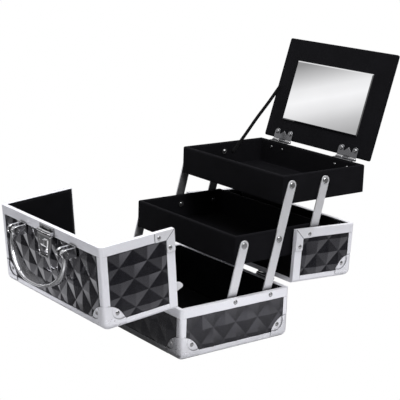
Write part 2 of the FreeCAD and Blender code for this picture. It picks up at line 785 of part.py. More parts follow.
def latch_catch():
    """A plate with a staple on the rear lid's top, which the hasp's window drops over."""
    reach = hasp_pivot + hasp_length - hasp_window_low - hasp_window_height / 2
    y = -half_d + (case_depth - reach)
    seat = z_top - skin + diamond_base + diamond_height
    plate = block((-hasp_top_width / 2, y - catch_half, seat),
                  (hasp_top_width / 2, y + catch_half, seat + bracket_plate))
    upright = [e for e in plate.Edges if abs(e.tangentAt(e.FirstParameter).z) > 0.9]
    plate = plate.makeFillet(catch_round, upright)
    wide = hasp_window_width / 2 - staple_side_gap
    staple = block((-wide, y - staple_thick / 2, seat), (wide, y + staple_thick / 2, seat + staple_rise))
    hook = block((-wide, y - staple_thick / 2 - staple_hook, seat + staple_rise - staple_hook_tall),
                 (wide, y, seat + staple_rise))
    keep("latch_catch", [open_rear(plate.multiFuse([staple, hook]).removeSplitter())])


# Arms and trays

def arm(foot_y, foot_z, stages):
    """A flat arm on the right side, leaning back from its foot, with a hole at each pivot."""
    length = arm_length * stages
    end = arm_width / 2
    face = outline([(-end, -end, end * 0.999), (end, -end, end * 0.999), (end, length + end, end * 0.999),
                    (-end, length + end, end * 0.999)])
    bar = face.extrude(Vector(0, 0, arm_thick))
    for stage in range(stages + 1):
        place = Vector(0, arm_length * stage, 0)
        bar = bar.cut(Part.makeCylinder(arm_rivet + running_gap, arm_thick, place, Z))
    lean = math.radians(arm_lean)
    up = Vector(0, math.sin(lean), math.cos(lean))
    return placed(bar, Vector(arm_inner, foot_y, foot_z), Vector(0, math.cos(lean), -math.sin(lean)), up)


def arms():
    rear_foot = lower_front + tray_pivot_from_front + 2 * arm_spacing
    keep("front_arms", both_sides(arm(arm_pivot_front, arm_z, 1)))
    keep("long_arms", both_sides(arm(arm_pivot_front + arm_spacing, arm_z, 2)))
    keep("rear_arms", both_sides(arm(rear_foot, arm_z + arm_dz, 1)))


def tray_rivet(y, z):
    """A shouldered rivet through a tray's right wall and an arm."""
    inside = tray_side - tray_wall
    tail = rod(arm_rivet_head, (inside - rivet_tail, y, z), (inside, y, z))
    shank = rod(arm_rivet, (inside, y, z), (arm_outer + arm_gap, y, z))
    collar = rod(arm_rivet_collar, (tray_side, y, z), (arm_inner - arm_gap, y, z))
    head = rod(arm_rivet_head, (arm_outer + arm_gap, y, z), (arm_outer + arm_gap + rivet_rise, y, z))
    head = head.makeFillet(rivet_rise * 0.8, [max(head.Edges, key=lambda e: e.CenterOfMass.x)])
    return tail.multiFuse([shank, collar, head]).removeSplitter()


def tray(name, front, bottom, pivots):
    """A tray of four walls round a floor, carried on rivets at its pivots."""
    rear = front + tray_depth
    top = bottom + tray_height
    z = bottom + tray_pivot_up
    places = [front + tray_pivot_from_front + arm_spacing * k for k in range(pivots)]
    front_wall = block((-tray_side, front, bottom), (tray_side, front + tray_wall, top))
    rear_wall = block((-tray_side, rear - tray_wall, bottom), (tray_side, rear, top))
    side_wall = block((tray_side - tray_wall, front + tray_wall, bottom), (tray_side, rear - tray_wall, top))
    holes = [rod(arm_rivet, (0, y, z), (case_width, y, z)) for y in places]
    side_wall = side_wall.cut(Part.makeCompound(holes))
    floor = block((-tray_side + tray_wall, front + tray_wall, bottom),
                  (tray_side - tray_wall, rear - tray_wall, bottom + tray_floor))
    keep(name + "_walls", [front_wall, rear_wall] + both_sides(side_wall))
    keep(name + "_floor", [floor])
    rivets = []
    for y in places:
        rivets += both_sides(tray_rivet(y, z))
    keep(name + "_rivets", rivets)


# The mirror lid, built shut on the upper tray and then turned back

def open_mirror(shape):
    return turned(shape, Vector(0, mirror_pin_y, mirror_pin_z), -mirror_open)


def mirror_lid():
    top = upper_bottom + tray_height
    under = top + mirror_lid_gap
    rear = upper_front + tray_depth
    lid_board = block((-tray_side, upper_front - mirror_overhang, under),
                      (tray_side, rear, under + mirror_board))
    keep("mirror_lid_board", [open_mirror(lid_board)])
    glass_rear = rear - mirror_glass_up
    glass = block((-mirror_glass_width / 2, glass_rear - mirror_glass_depth, under - mirror_glass_thick),
                  (mirror_glass_width / 2, glass_rear, under))
    keep("mirror_glass", [open_mirror(glass)])

    third = mirror_hinge_width / 6
    half = mirror_hinge_width / 2
    lid_leaves = []
    tray_leaves = []
    pins = []
    for sign in (1, -1):
        x = sign * mirror_hinge_place
        line = (mirror_pin_y, mirror_pin_z)
        lid_leaf_plate = block((x - half, rear - mirror_leaf, under - mirror_leaf_thick),
                               (x + half, rear, under))
        tube = rod(mirror_knuckle, (x - third, *line), (x + third, *line))
        web = block((x - third, rear - 1, under - mirror_leaf_thick), (x + third, mirror_pin_y, under))
        lid_leaf_plate = lid_leaf_plate.multiFuse([tube, web])
        tray_leaf = block((x - half, rear - tray_wall, top), (x + half, rear, top + mirror_leaf_thick))
        drop = block((x - half, rear - tray_wall - mirror_leaf_thick, top - mirror_leaf + tray_wall),
                     (x + half, rear - tray_wall, top + mirror_leaf_thick))
        tray_leaf = tray_leaf.fuse(drop)
        for low, high in ((-half, -third - side_gap), (third + side_gap, half)):
            tube = rod(mirror_knuckle, (x + low, *line), (x + high, *line))
            web = block((x + low, rear - 1, top), (x + high, mirror_pin_y, top + mirror_leaf_thick))
            tray_leaf = tray_leaf.multiFuse([tube, web])
        ends = ((x - half, *line), (x + half, *line))
        lid_leaf_plate = lid_leaf_plate.cut(rod(mirror_pin_radius + running_gap, *ends)).removeSplitter()
        lid_leaves.append(open_mirror(lid_leaf_plate))
        tray_leaves.append(tray_leaf.cut(rod(mirror_pin_radius, *ends)).removeSplitter())
        pins.append(rod(mirror_pin_radius, *ends))
    keep("mirror_hinge_lid_leaves", lid_leaves)
    keep("mirror_hinge_tray_leaves", tray_leaves)
    keep("mirror_hinge_pins", pins)


def stay_ribbon():
    """A taut ribbon on the left, from the upper tray's wall to the mirror lid's inner face."""
    x = -(tray_side - tray_wall)
    rear = upper_front + tray_depth
    low = Vector(x, rear - ribbon_from_hinge, upper_bottom + tray_height - ribbon_below_top)
    under = upper_bottom + tray_height + mirror_lid_gap
    face_point = open_mirror(Part.Vertex(x, rear - ribbon_on_lid, under)).Point
    along = (face_point - low).normalize()
    length = (face_point - low).Length + ribbon_width
    strip = Part.makeBox(ribbon_width, length, ribbon_thick, Vector(-ribbon_width / 2, -ribbon_width / 2, 0))
    strip = placed(strip, low, along.cross(X), along)
    inner_face = open_mirror(Part.Vertex(x, rear - ribbon_on_lid, under - 10)).Point
    strip = trimmed(strip, tuple(face_point), tuple(face_point - inner_face))
    keep("stay_ribbon", [strip])


base_panels()
base_frame()
base_lining()
arm_base_rivets()
hinges()
lid("front_lid", front_share, open_front)
lid("rear_lid", rear_share, open_rear)
locating_tongues()
handle()
hasp()
latch_catch()
arms()
tray("lower_tray", lower_front, lower_bottom, 3)
tray("upper_tray", upper_front, upper_bottom, 2)
mirror_lid()
stay_ribbon()

# The origin goes under the middle of the whole open case
overall = Part.makeCompound(list(pieces.values())).optimalBoundingBox()
to_origin = Vector(0, -(overall.YMin + overall.YMax) / 2, 0)

os.makedirs("parts", exist_ok=True)
for node, shape in pieces.items():
    for solid in shape.Solids:
        if not solid.isValid() or solid.Volume <= 0:
            print("check the solid in", node)
    shape.translated(to_origin).exportStep("parts/" + node + ".step")
solids = sum(len(s.Solids) for s in pieces.values())
print(len(pieces), "nodes,", solids, "solids, moved by", round(to_origin.y, 4))
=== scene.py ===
import json
import math

import bmesh
import bpy
from mathutils import Matrix, Vector


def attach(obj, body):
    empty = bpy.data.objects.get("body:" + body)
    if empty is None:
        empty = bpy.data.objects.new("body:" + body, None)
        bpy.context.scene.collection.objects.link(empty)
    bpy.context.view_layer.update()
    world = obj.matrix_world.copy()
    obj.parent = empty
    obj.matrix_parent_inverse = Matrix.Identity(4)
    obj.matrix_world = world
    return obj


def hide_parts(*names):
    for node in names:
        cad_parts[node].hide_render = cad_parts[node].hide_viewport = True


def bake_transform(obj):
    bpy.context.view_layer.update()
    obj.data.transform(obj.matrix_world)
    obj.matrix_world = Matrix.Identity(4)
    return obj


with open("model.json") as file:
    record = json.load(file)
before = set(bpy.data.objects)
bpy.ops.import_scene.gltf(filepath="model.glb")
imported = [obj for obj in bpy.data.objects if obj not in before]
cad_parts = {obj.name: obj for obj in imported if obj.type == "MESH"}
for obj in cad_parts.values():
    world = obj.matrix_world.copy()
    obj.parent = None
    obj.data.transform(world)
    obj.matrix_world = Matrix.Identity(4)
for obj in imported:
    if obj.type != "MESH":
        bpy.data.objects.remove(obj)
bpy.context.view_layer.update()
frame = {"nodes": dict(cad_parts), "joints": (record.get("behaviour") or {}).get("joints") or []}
nodes = frame["nodes"]

# Sizes of the CAD part in millimetres, counted from the middle of the base
HALF_W = 120.0
HALF_D = 87.5
Z_BOTTOM = 1.0
Z_RIM = 67.0
Z_MATE = 67.5
Z_TOP = 172.0
Z_PIN = 67.25
PIN_Y = 91.5
FRONT_OPEN = 95.4
REAR_OPEN = 92.8
FRONT_SEAM = 15.25
REAR_SEAM = -15.75
INSET = 5.0
ARM_THICK = 2.0
ARM_HALF = 6.8
ARM_LENGTH = 71.5
ARM_LEAN = math.radians(14.3)
ARM_FOOT = (-2.5, 62.4)
ARM_SPACING = 58.0
ARM_RISE = (ARM_LENGTH * math.sin(ARM_LEAN), ARM_LENGTH * math.cos(ARM_LEAN))
TRAY_SIDE = 109.0
TRAY_DEPTH = 145.2
TRAY_HEIGHT = 38.0
TRAY_WALL = 5.0
TRAY_FLOOR = 3.0
TRAY_RIVET = (13.0, 24.9)
LOWER_FRONT = ARM_FOOT[0] + ARM_RISE[0] - TRAY_RIVET[0]
LOWER_BOTTOM = ARM_FOOT[1] + ARM_RISE[1] - TRAY_RIVET[1]
UPPER_FRONT = ARM_FOOT[0] + ARM_SPACING + 2 * ARM_RISE[0] - TRAY_RIVET[0]
UPPER_BOTTOM = ARM_FOOT[1] + 2 * ARM_RISE[1] - TRAY_RIVET[1]
UPPER_TOP = UPPER_BOTTOM + TRAY_HEIGHT
MIRROR_OPEN = 107.2
MIRROR_UNDER = UPPER_TOP + 2.0
MIRROR_REAR = UPPER_FRONT + TRAY_DEPTH
MIRROR_FRONT = UPPER_FRONT - 3.0
MIRROR_PIN = (MIRROR_REAR + 3.4, UPPER_TOP + 1.0)


# Places: points are given in millimetres round the closed case and come out in metres where they stand

def pivot(name):
    """Where a joint's line along X passes, in the row frame in millimetres."""
    place = next(j["pos_m"] for j in frame["joints"] if j["name"] == name)
    return 1000 * place[1], 1000 * place[2]


ORIGIN_Y = pivot("front_lid_hinge")[0] + PIN_Y


def row(p):
    """A point of the case in millimetres, in the row frame in metres."""
    return Vector((p[0], p[1] + ORIGIN_Y, p[2])) / 1000


def swung(p, pivot, degrees):
    """A point turned about a line along X, in millimetres."""
    a = math.radians(degrees)
    y, z = p[1] - pivot[0], p[2] - pivot[1]
    return Vector((p[0], pivot[0] + y * math.cos(a) - z * math.sin(a),
                   pivot[1] + y * math.sin(a) + z * math.cos(a)))


def front(p):
    """A point of the closed front lid, where the lid stands open."""
    return row(swung(p, (-PIN_Y, Z_PIN), FRONT_OPEN))


def rear(p):
    """A point of the rear lid, given as on a closed front lid, where the lid stands open."""
    return row(swung((-p[0], -p[1], p[2]), (PIN_Y, Z_PIN), -REAR_OPEN))


def raised(p):
    """A point of the shut mirror lid, where it stands open."""
    return row(swung(p, MIRROR_PIN, -MIRROR_OPEN))


# Materials

def fill_in(tree, node, values):
    """Sets a node's inputs: the output of another node is linked, any other value is entered."""
    for key, value in values.items():
        if isinstance(value, bpy.types.NodeSocket):
            tree.links.new(value, node.inputs[key])
        else:
            node.inputs[key].default_value = value


def add_node(tree, kind, values=None, **settings):
    """A new shader node with its settings and inputs."""
    node = tree.nodes.new("ShaderNode" + kind)
    for key, value in settings.items():
        setattr(node, key, value)
    fill_in(tree, node, values or {})
    return node


def nodes_of(name):
    material = bpy.data.materials.new(name)
    material.use_nodes = True
    tree = material.node_tree
    shader = next(n for n in tree.nodes if n.type == "BSDF_PRINCIPLED")
    return material, tree, shader


def coordinates(tree, scale=(1, 1, 1)):
    place = add_node(tree, "TexCoord").outputs["Object"]
    return add_node(tree, "Mapping", {"Scale": scale, "Vector": place}).outputs["Vector"]


def noise(tree, scale, detail=4.0, roughness=0.55, stretch=(1, 1, 1)):
    return add_node(tree, "TexNoise", {"Scale": scale, "Detail": detail, "Roughness": roughness,
                                       "Vector": coordinates(tree, stretch)}).outputs["Fac"]


def ramp(tree, value, stops):
    node = add_node(tree, "ValToRGB", {"Fac": value})
    elements = node.color_ramp.elements
    for element, (place, colour) in zip((elements[0], elements[1]), (stops[0], stops[-1])):
        element.position = place
        element.color = (*colour, 1)
    for place, colour in stops[1:-1]:
        elements.new(place).color = (*colour, 1)
    return node.outputs["Color"]


def mixed(tree, blend, first, second, share=1.0):
    """Two colours blended in full, or by a share between 0 and 1."""
    return add_node(tree, "Mix", {"Factor": share, "A": first, "B": second},
                    data_type="RGBA", blend_type=blend).outputs["Result"]


def number_math(tree, operation, value, other=0.0):
    return add_node(tree, "Math", {0: value, 1: other}, operation=operation).outputs["Value"]


def along_line(tree, place, direction):
    """How far a place lies along a direction."""
    return add_node(tree, "VectorMath", {0: place, 1: direction}, operation="DOT_PRODUCT").outputs["Value"]


def rescaled(tree, value, low, high):
    """A value between two others, as 0 to 1."""
    return add_node(tree, "MapRange", {"Value": value, "From Min": low, "From Max": high}).outputs["Result"]


def spread(tree, value, low, high):
    """A 0 to 1 value spread between two others."""
    return add_node(tree, "MapRange", {"Value": value, "To Min": low, "To Max": high}).outputs["Result"]


def bump(tree, height, strength, distance):
    return add_node(tree, "Bump", {"Height": height, "Strength": strength,
                                   "Distance": distance}).outputs["Normal"]


def painted_shade_mask(tree, reach, depth, dark, clear):
    """White on open faces, falling to depth where other faces within reach shut them in: the mask of a
    painted shade.
    """
    hidden = add_node(tree, "AmbientOcclusion", {"Distance": reach}, samples=8)
    return ramp(tree, hidden.outputs["AO"], [(dark, (depth, depth, depth)), (clear, (1, 1, 1))])


def with_painted_shade(tree, colour, reach, depth):
    """The colour, with painted shade where other faces lie within reach, as in corners and along seams."""
    return mixed(tree, "MULTIPLY", colour, painted_shade_mask(tree, reach, depth, 0.5, 0.88))


def with_painted_lid_shade(tree, colour, depth):
    """The colour, with painted shade on the base's front and rear faces where floor and open lid shut them
    in.
    """
    split = add_node(tree, "SeparateXYZ", {"Vector": coordinates(tree)})
    ahead = number_math(tree, "SUBTRACT", split.outputs["Y"], ORIGIN_Y / 1000)
    off_middle = number_math(tree, "ABSOLUTE", ahead)
    face = rescaled(tree, off_middle, (HALF_D - 3.5) / 1000, (HALF_D - 1.5) / 1000)
    return mixed(tree, "MULTIPLY", colour, painted_shade_mask(tree, 0.12, depth, 0.42, 0.62), face)


def make_diamond_skin():
    """Gloss black embossed skin with a faint pebble and cloudy gloss."""
    material, tree, shader = nodes_of("diamond_skin")
    tint = ramp(tree, noise(tree, 60), [(0.3, (0.005, 0.005, 0.007)), (0.7, (0.009, 0.009, 0.011))])
    fill_in(tree, shader, {"Base Color": tint,
                           "Roughness": spread(tree, noise(tree, 140), 0.08, 0.13),
                           "Specular IOR Level": 0.95,
                           "Specular Tint": (0.93, 0.92, 1.0, 1),
                           "Normal": bump(tree, noise(tree, 2200, 2.0), 0.12, 0.00006)})
    return material


def make_aluminium(name, lid_shade=None):
    """Satin anodised bar: fine drawn lines, a soft cloudy sheen, painted shade in corners and along seams,
    and painted shade under the base's open lids where asked for.
    """
    material, tree, shader = nodes_of(name)
    lines = noise(tree, 1500, 4.0, 0.65, (0.04, 1, 1))
    tint = ramp(tree, lines, [(0.3, (0.79, 0.79, 0.84)), (0.7, (0.93, 0.93, 0.98))])
    if lid_shade:
        tint = with_painted_lid_shade(tree, tint, lid_shade)
    fill_in(tree, shader, {"Base Color": with_painted_shade(tree, tint, 0.004, 0.25),
                           "Roughness": spread(tree, noise(tree, 35), 0.26, 0.36),
                           "Metallic": 0.4,
                           "Normal": bump(tree, lines, 0.08, 0.00004)})
    return material


def plate_steel(tree, shader, grain, tint, polish, metallic, reach=0.004, depth=0.08):
    """Plated steel with a fine grain and an uneven polish, its roughness between two values, and painted
    shade in corners and along seams.
    """
    fill_in(tree, shader, {"Base Color": with_painted_shade(tree, tint, reach, depth),
                           "Roughness": spread(tree, noise(tree, 90), *polish),
                           "Metallic": metallic,
                           "Normal": bump(tree, grain, 0.03, 0.00003)})


def make_metal(name, colour, roughness, metallic, reach=0.004, depth=0.08, lid_shade=None):
    material, tree, shader = nodes_of(name)
    grain = noise(tree, 1500, 3.0)
    dark = tuple(0.9 * c for c in colour)
    tint = ramp(tree, grain, [(0.3, dark), (0.7, colour)])
    # Painted shade under the base's open lids, where asked for.
    if lid_shade:
        tint = with_painted_lid_shade(tree, tint, lid_shade)
    polish = (0.75 * roughness, 1.35 * roughness)
    plate_steel(tree, shader, grain, tint, polish, metallic, reach, depth)
    return material


def make_plate(name, place, seam):
    """Corner plate steel: a fine dark line where the two bars beneath are mitred."""
    material, tree, shader = nodes_of(name)
    grain = noise(tree, 1500, 3.0)
    corner = place((HALF_W, seam, Z_MATE))
    mitre = place((HALF_W, seam - 1, Z_MATE + 1)) - corner
    square = mitre.cross(Vector((1, 0, 0))).normalized()
    away = add_node(tree, "VectorMath", {0: coordinates(tree), 1: corner}, operation="SUBTRACT")
    off_mitre = number_math(tree, "ABSOLUTE", along_line(tree, away.outputs["Vector"], square))
    near = rescaled(tree, off_mitre, 0.0, 0.001)
    steel = ramp(tree, grain, [(0.3, (0.80, 0.80, 0.84)), (0.7, (0.89, 0.89, 0.93))])
    line = ramp(tree, near, [(0.25, (0.12, 0.12, 0.13)), (0.5, (1, 1, 1))])
    plate_steel(tree, shader, grain, mixed(tree, "MULTIPLY", steel, line), (0.24, 0.4), 0.5)
    return material


def make_velvet(name, low, high, sheen, nap=5200.0, gloss=0.12):
    """Short-pile fabric: brushed patches, a fine nap and light at grazing edges."""
    material, tree, shader = nodes_of(name)
    patches = noise(tree, 28, 5.0, 0.62)
    fill_in(tree, shader, {"Base Color": ramp(tree, patches, [(0.3, low), (0.72, high)]),
                           "Roughness": 0.95,
                           "Specular IOR Level": gloss,
                           "Sheen Weight": sheen,
                           "Sheen Roughness": 0.38,
                           "Sheen Tint": (0.8, 0.8, 0.88, 1),
                           "Normal": bump(tree, noise(tree, nap, 2.0), 0.5, 0.0002)})
    return material


def make_ribbon():
    """A woven tape: fine ribs across it."""
    material, tree, shader = nodes_of("ribbon")
    wave = add_node(tree, "TexWave", {"Scale": 420, "Distortion": 0.6, "Vector": coordinates(tree)},
                    bands_direction="Z")
    ribs = wave.outputs["Fac"]
    tint = ramp(tree, ribs, [(0.2, (0.003, 0.003, 0.0035)), (0.8, (0.007, 0.007, 0.008))])
    fill_in(tree, shader, {"Base Color": tint,
                           "Roughness": 0.7,
                           "Specular IOR Level": 0.12,
                           "Sheen Weight": 0.03,
                           "Normal": bump(tree, ribs, 0.5, 0.0002)})
    return material


def make_mirror():
    """Silvered glass with a trace of unevenness."""
    material, tree, shader = nodes_of("mirror")
    tint = ramp(tree, noise(tree, 18), [(0.3, (0.93, 0.93, 0.93)), (0.7, (0.965, 0.965, 0.965))])
    fill_in(tree, shader, {"Base Color": tint,
                           "Roughness": spread(tree, noise(tree, 50), 0.0, 0.02),
                           "Metallic": 1.0})
    return material


skin = make_diamond_skin()
aluminium = make_aluminium("aluminium")
# The base's copies of the aluminium and cap steel, with painted shade on its front and rear faces under the
# open lids.
shaded_base_aluminium = make_aluminium("shaded_base_aluminium", 0.16)
cap_metal = make_metal("cap_steel", (0.90, 0.90, 0.95), 0.28, 0.45)
shaded_base_cap_metal = make_metal("shaded_base_cap_steel", (0.90, 0.90, 0.95), 0.28, 0.45, lid_shade=0.16)
rivet_metal = make_metal("rivet_steel", (0.62, 0.62, 0.63), 0.2, 0.95)
# Arm steel with far-reaching painted shade: it darkens the arms where the trays and lids close round them.
arm_metal = make_metal("arm_steel", (0.88, 0.88, 0.91), 0.34, 0.6, reach=0.12, depth=0.2)
chrome = make_metal("chrome", (0.93, 0.93, 0.95), 0.07, 1.0)
bail_metal = make_metal("bail_chrome", (0.93, 0.93, 0.95), 0.08, 0.92)
front_plate = make_plate("front_plate_steel", front, FRONT_SEAM)
rear_plate = make_plate("rear_plate_steel", rear, REAR_SEAM)
nickel = make_metal("nickel", (0.42, 0.42, 0.43), 0.2, 1.0)
hinge_metal = make_metal("hinge_steel", (0.24, 0.24, 0.25), 0.2, 1.0)
velvet = make_velvet("black_velvet", (0.0022, 0.0022, 0.0030), (0.0042, 0.0041, 0.0054), 0.028)
# A darker, less glossy copy of the velvet for the tray pads: the darker colour is painted shade on their
# up-facing cloth, the lower gloss is the cloth's own.
shaded_pad_cloth = make_velvet("shaded_velvet_pad", (0.0015, 0.0015, 0.0021), (0.0029, 0.0028, 0.0038), 0.016, gloss=0.05)
wrap = make_velvet("velvet_wrap", (0.0022, 0.0021, 0.0031), (0.0042, 0.0040, 0.0056), 0.03)
dark_board = make_velvet("black_board", (0.010, 0.010, 0.011), (0.02, 0.02, 0.022), 0.0, nap=1800.0)
ribbon_cloth = make_ribbon()
silver = make_mirror()


# Mesh helpers

def placed(name, data):
    """A new object of this data, in the scene."""
    obj = bpy.data.objects.new(name, data)
    bpy.context.scene.collection.objects.link(obj)
    return obj


def new_piece(name, shape, place, material, body, smooth=True):
    """A piece that rides on a body: vertices and faces, and what puts a vertex in the row frame in metres."""
    verts, faces = shape
    mesh = bpy.data.meshes.new(name)
    mesh.from_pydata([tuple(place(v)) for v in verts], [], faces)
    mesh.validate()
    work = bmesh.new()
    work.from_mesh(mesh)
    bmesh.ops.remove_doubles(work, verts=work.verts, dist=1e-7)
    bmesh.ops.recalc_face_normals(work, faces=work.faces)
    work.to_mesh(mesh)
    work.free()
    mesh.polygons.foreach_set("use_smooth", [smooth] * len(mesh.polygons))
    obj = placed(name, mesh)
    mesh.materials.append(material)
    if body:
        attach(obj, body)
    return obj


def baked(obj):
    """The object's mesh with its modifiers in it, and no modifiers left."""
    graph = bpy.context.evaluated_depsgraph_get()
    mesh = bpy.data.meshes.new_from_object(obj.evaluated_get(graph))
    obj.modifiers.clear()
    obj.data = mesh
    return obj


def ring(half_x, low_y, high_y, radius, per_corner=6, per_side=24):
    """A rounded rectangle as a list of (x, y), the same count for every size."""
    points = []
    corners = [(half_x - radius, low_y + radius, -90), (half_x - radius, high_y - radius, 0),
               (-half_x + radius, high_y - radius, 90), (-half_x + radius, low_y + radius, 180)]
    for k, (cx, cy, start) in enumerate(corners):
        for i in range(per_corner + 1):
            a = math.radians(start + 90 * i / per_corner)
            points.append((cx + radius * math.cos(a), cy + radius * math.sin(a)))
        nx, ny, nstart = corners[(k + 1) % 4]
        a = math.radians(nstart)
        end = (nx + radius * math.cos(a), ny + radius * math.sin(a))
        begin = points[-1]
        for i in range(1, per_side):
            t = i / per_side
            points.append((begin[0] + t * (end[0] - begin[0]), begin[1] + t * (end[1] - begin[1])))
    return points


def lofted(rings):
    """Vertices and faces through rings of equal count, closed at both ends with a fan."""
    verts = [p for r in rings for p in r]
    n = len(rings[0])
    faces = []
    for k in range(len(rings) - 1):
        for i in range(n):
            j = (i + 1) % n
            faces.append((k * n + i, k * n + j, (k + 1) * n + j, (k + 1) * n + i))
    for k in (0, len(rings) - 1):
        middle = sum((Vector(p) for p in rings[k]), Vector()) / n
        verts.append(tuple(middle))
        hub = len(verts) - 1
        for i in range(n):
            faces.append((k * n + i, k * n + (i + 1) % n, hub))
    return verts, faces


def arc(cx, cz, radius, start, end, steps):
    angles = [math.radians(start + (end - start) * i / steps) for i in range(steps + 1)]
    return [(cx + radius * math.cos(a), cz + radius * math.sin(a)) for a in angles]


def grid(across, along):
    """The faces of a grid of points, given its numbers of cells."""
    corners = [j * (across + 1) + i for j in range(along) for i in range(across)]
    return [(a, a + 1, a + across + 2, a + across + 1) for a in corners]


def soft_box(half_x, low_y, high_y, low_z, high_z, edge, corner):
    """A board with all its edges rounded, as rings from below to above."""
    height = high_z - low_z
    turn = arc(edge, edge, edge, 270, 180, 5)
    profile = [(6.0, 0.0), (3.0, 0.0)] + turn
    profile += [(d, height - z) for d, z in reversed(turn)] + [(3.0, height), (6.0, height)]
    rings = []
    for d, z in profile:
        r = max(corner - d, 0.35)
        rings.append([(x, y, low_z + z) for x, y in ring(half_x - d, low_y + d, high_y - d, r)])
    return rings


# Trays: a board shell wrapped in velvet, with soft lips and corners

def tray_rings(low_y, bottom):
    lip = TRAY_WALL / 2
    edge = 0.9
    cove = 1.6
    top = TRAY_HEIGHT
    profile = [(30.0, 0.0), (8.0, 0.0)] + arc(edge, edge, edge, 270, 180, 4)
    profile += [(0.0, top * k / 8) for k in range(1, 8)]
    profile += arc(lip, top - lip, lip, 180, 0, 10)
    profile += [(TRAY_WALL, top - (top - TRAY_FLOOR) * k / 8) for k in range(1, 8)]
    profile += arc(TRAY_WALL + cove, TRAY_FLOOR + cove, cove, 180, 270, 4)
    profile += [(12.0, TRAY_FLOOR), (30.0, TRAY_FLOOR), (55.0, TRAY_FLOOR)]
    rings = []
    for k, (d, z) in enumerate(profile):
        r = max(2.2 - d, 0.4) if k < len(profile) / 2 else max(3.0 - max(d - TRAY_WALL, 0), 0.4)
        outline = ring(TRAY_SIDE - d, low_y + d, low_y + TRAY_DEPTH - d, r)
        rings.append([(x, y, bottom + z) for x, y in outline])
    return rings


def make_tray(name, low_y, bottom):
    shell = lofted(tray_rings(low_y, bottom))
    obj = new_piece(name + "_shell", shell, row, wrap, name)
    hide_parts(name + "_walls", name + "_floor")


make_tray("lower_tray", LOWER_FRONT, LOWER_BOTTOM)
make_tray("upper_tray", UPPER_FRONT, UPPER_BOTTOM)


def make_tray_liner(name, low_y, bottom):
    """The loose velvet pad on a tray's floor, with a soft swell."""
    half_x = TRAY_SIDE - TRAY_WALL - 1.2
    y0 = low_y + TRAY_WALL + 1.2
    y1 = low_y + TRAY_DEPTH - TRAY_WALL - 1.2
    verts = []
    nx, ny = 60, 40
    for j in range(ny + 1):
        for i in range(nx + 1):
            u, v = i / nx, j / ny
            edge = min(u, 1 - u, v, 1 - v)
            swell = 0.9 * (1 - math.exp(-edge * 26)) + 0.12 * math.sin(u * 9 + 1) * math.sin(v * 7)
            verts.append((-half_x + 2 * half_x * u, y0 + (y1 - y0) * v, bottom + TRAY_FLOOR + 0.15 + swell))
    new_piece(name + "_pad", (verts, grid(nx, ny)), row, shaded_pad_cloth, name)


make_tray_liner("lower_tray", LOWER_FRONT, LOWER_BOTTOM)
make_tray_liner("upper_tray", UPPER_FRONT, UPPER_BOTTOM)


# Linings of the base and the lids: glued velvet sheets, slightly padded

def velvet_sheet(corner, along, across, out, thick):
    """A flat-backed sheet on the parallelogram from corner, swelling a little along out."""
    corner, along, across, out = Vector(corner), Vector(along), Vector(across), Vector(out)
    nu = max(8, int(along.length / 4))
    nv = max(8, int(across.length / 4))
    verts = []
    back = []
    for j in range(nv + 1):
        for i in range(nu + 1):
            u, v = i / nu, j / nv
            edge = min(u, 1 - u) * along.length, min(v, 1 - v) * across.length
            swell = 0.9 + 0.1 * math.sin(7 * u + 2) * math.sin(5 * v)
            rise = thick * (1 - math.exp(-min(edge) / 1.1)) * swell
            verts.append(corner + along * u + across * v + out * rise)
            back.append(corner + along * u + across * v)
    faces = grid(nu, nv)
    behind = [tuple(len(verts) + i for i in reversed(face)) for face in faces]
    return verts + back, faces + behind


def joined(sheets):
    verts = []
    faces = []
    for v, f in sheets:
        n = len(verts)
        verts += v
        faces += [tuple(i + n for i in face) for face in f]
    return verts, faces


def box_lining(name, body, spot, low, high, open_sides):
    """Sheets inside a box from low to high, on every side not named in open_sides."""
    size = Vector(high) - Vector(low)
    sx, sy, sz = Vector((size.x, 0, 0)), Vector((0, size.y, 0)), Vector((0, 0, size.z))
    low, high = Vector(low), Vector(high)
    sides = {"floor": (low, sx, sy, (0, 0, 1)), "roof": (low + sz, sx, sy, (0, 0, -1)),
             "left": (low, sy, sz, (1, 0, 0)), "right": (low + sx, sy, sz, (-1, 0, 0)),
             "front": (low, sx, sz, (0, 1, 0)), "back": (low + sy, sx, sz, (0, -1, 0))}
    sheets = [velvet_sheet(*s, 0.35) for k, s in sides.items() if k not in open_sides]
    obj = new_piece(name + "_velvet", joined(sheets), spot, velvet, body)
    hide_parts(name)


LINED = HALF_W - INSET - 1.05
FACE = INSET + 1.05
LIP = 0.9
box_lining("base_lining", "base", row, (-LINED, -HALF_D + FACE, Z_BOTTOM + INSET),
           (LINED, HALF_D - FACE, Z_RIM - LIP), ("roof",))
box_lining("front_lid_lining", "front_lid", front, (-LINED, -HALF_D + FACE, Z_MATE + LIP),
           (LINED, FRONT_SEAM - LIP, Z_TOP - FACE), ("floor", "back"))
box_lining("rear_lid_lining", "rear_lid", rear, (-LINED, -HALF_D + FACE, Z_MATE + LIP),
           (LINED, REAR_SEAM - LIP, Z_TOP - FACE), ("floor", "back"))


# The mirror lid's board, wrapped in velvet

def make_mirror_board():
    board = soft_box(TRAY_SIDE, MIRROR_FRONT, MIRROR_REAR, MIRROR_UNDER, MIRROR_UNDER + 5.0, 1.4, 2.6)
    obj = new_piece("mirror_board_wrapped", lofted(board), raised, wrap, "mirror_lid")
    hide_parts("mirror_lid_board")


make_mirror_board()


def make_mirror_glass():
    """The glass with a narrow polished bevel round its face."""
    half_wide, tall, off_middle = 77.5, 88.0, 0.9
    rear_edge = MIRROR_REAR - 28.6
    rings = []
    for d, drop in ((8.0, 0.0), (0.0, 0.0), (0.0, 1.1), (1.6, 2.0), (8.0, 2.0), (20.0, 2.0)):
        outline = ring(half_wide - d, rear_edge - tall + d, rear_edge - d, 0.3)
        rings.append([(x - off_middle, y, MIRROR_UNDER - drop) for x, y in outline])
    obj = new_piece("mirror_glass_bevelled", lofted(rings), raised, silver, "mirror_lid", False)
    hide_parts("mirror_glass")


make_mirror_glass()
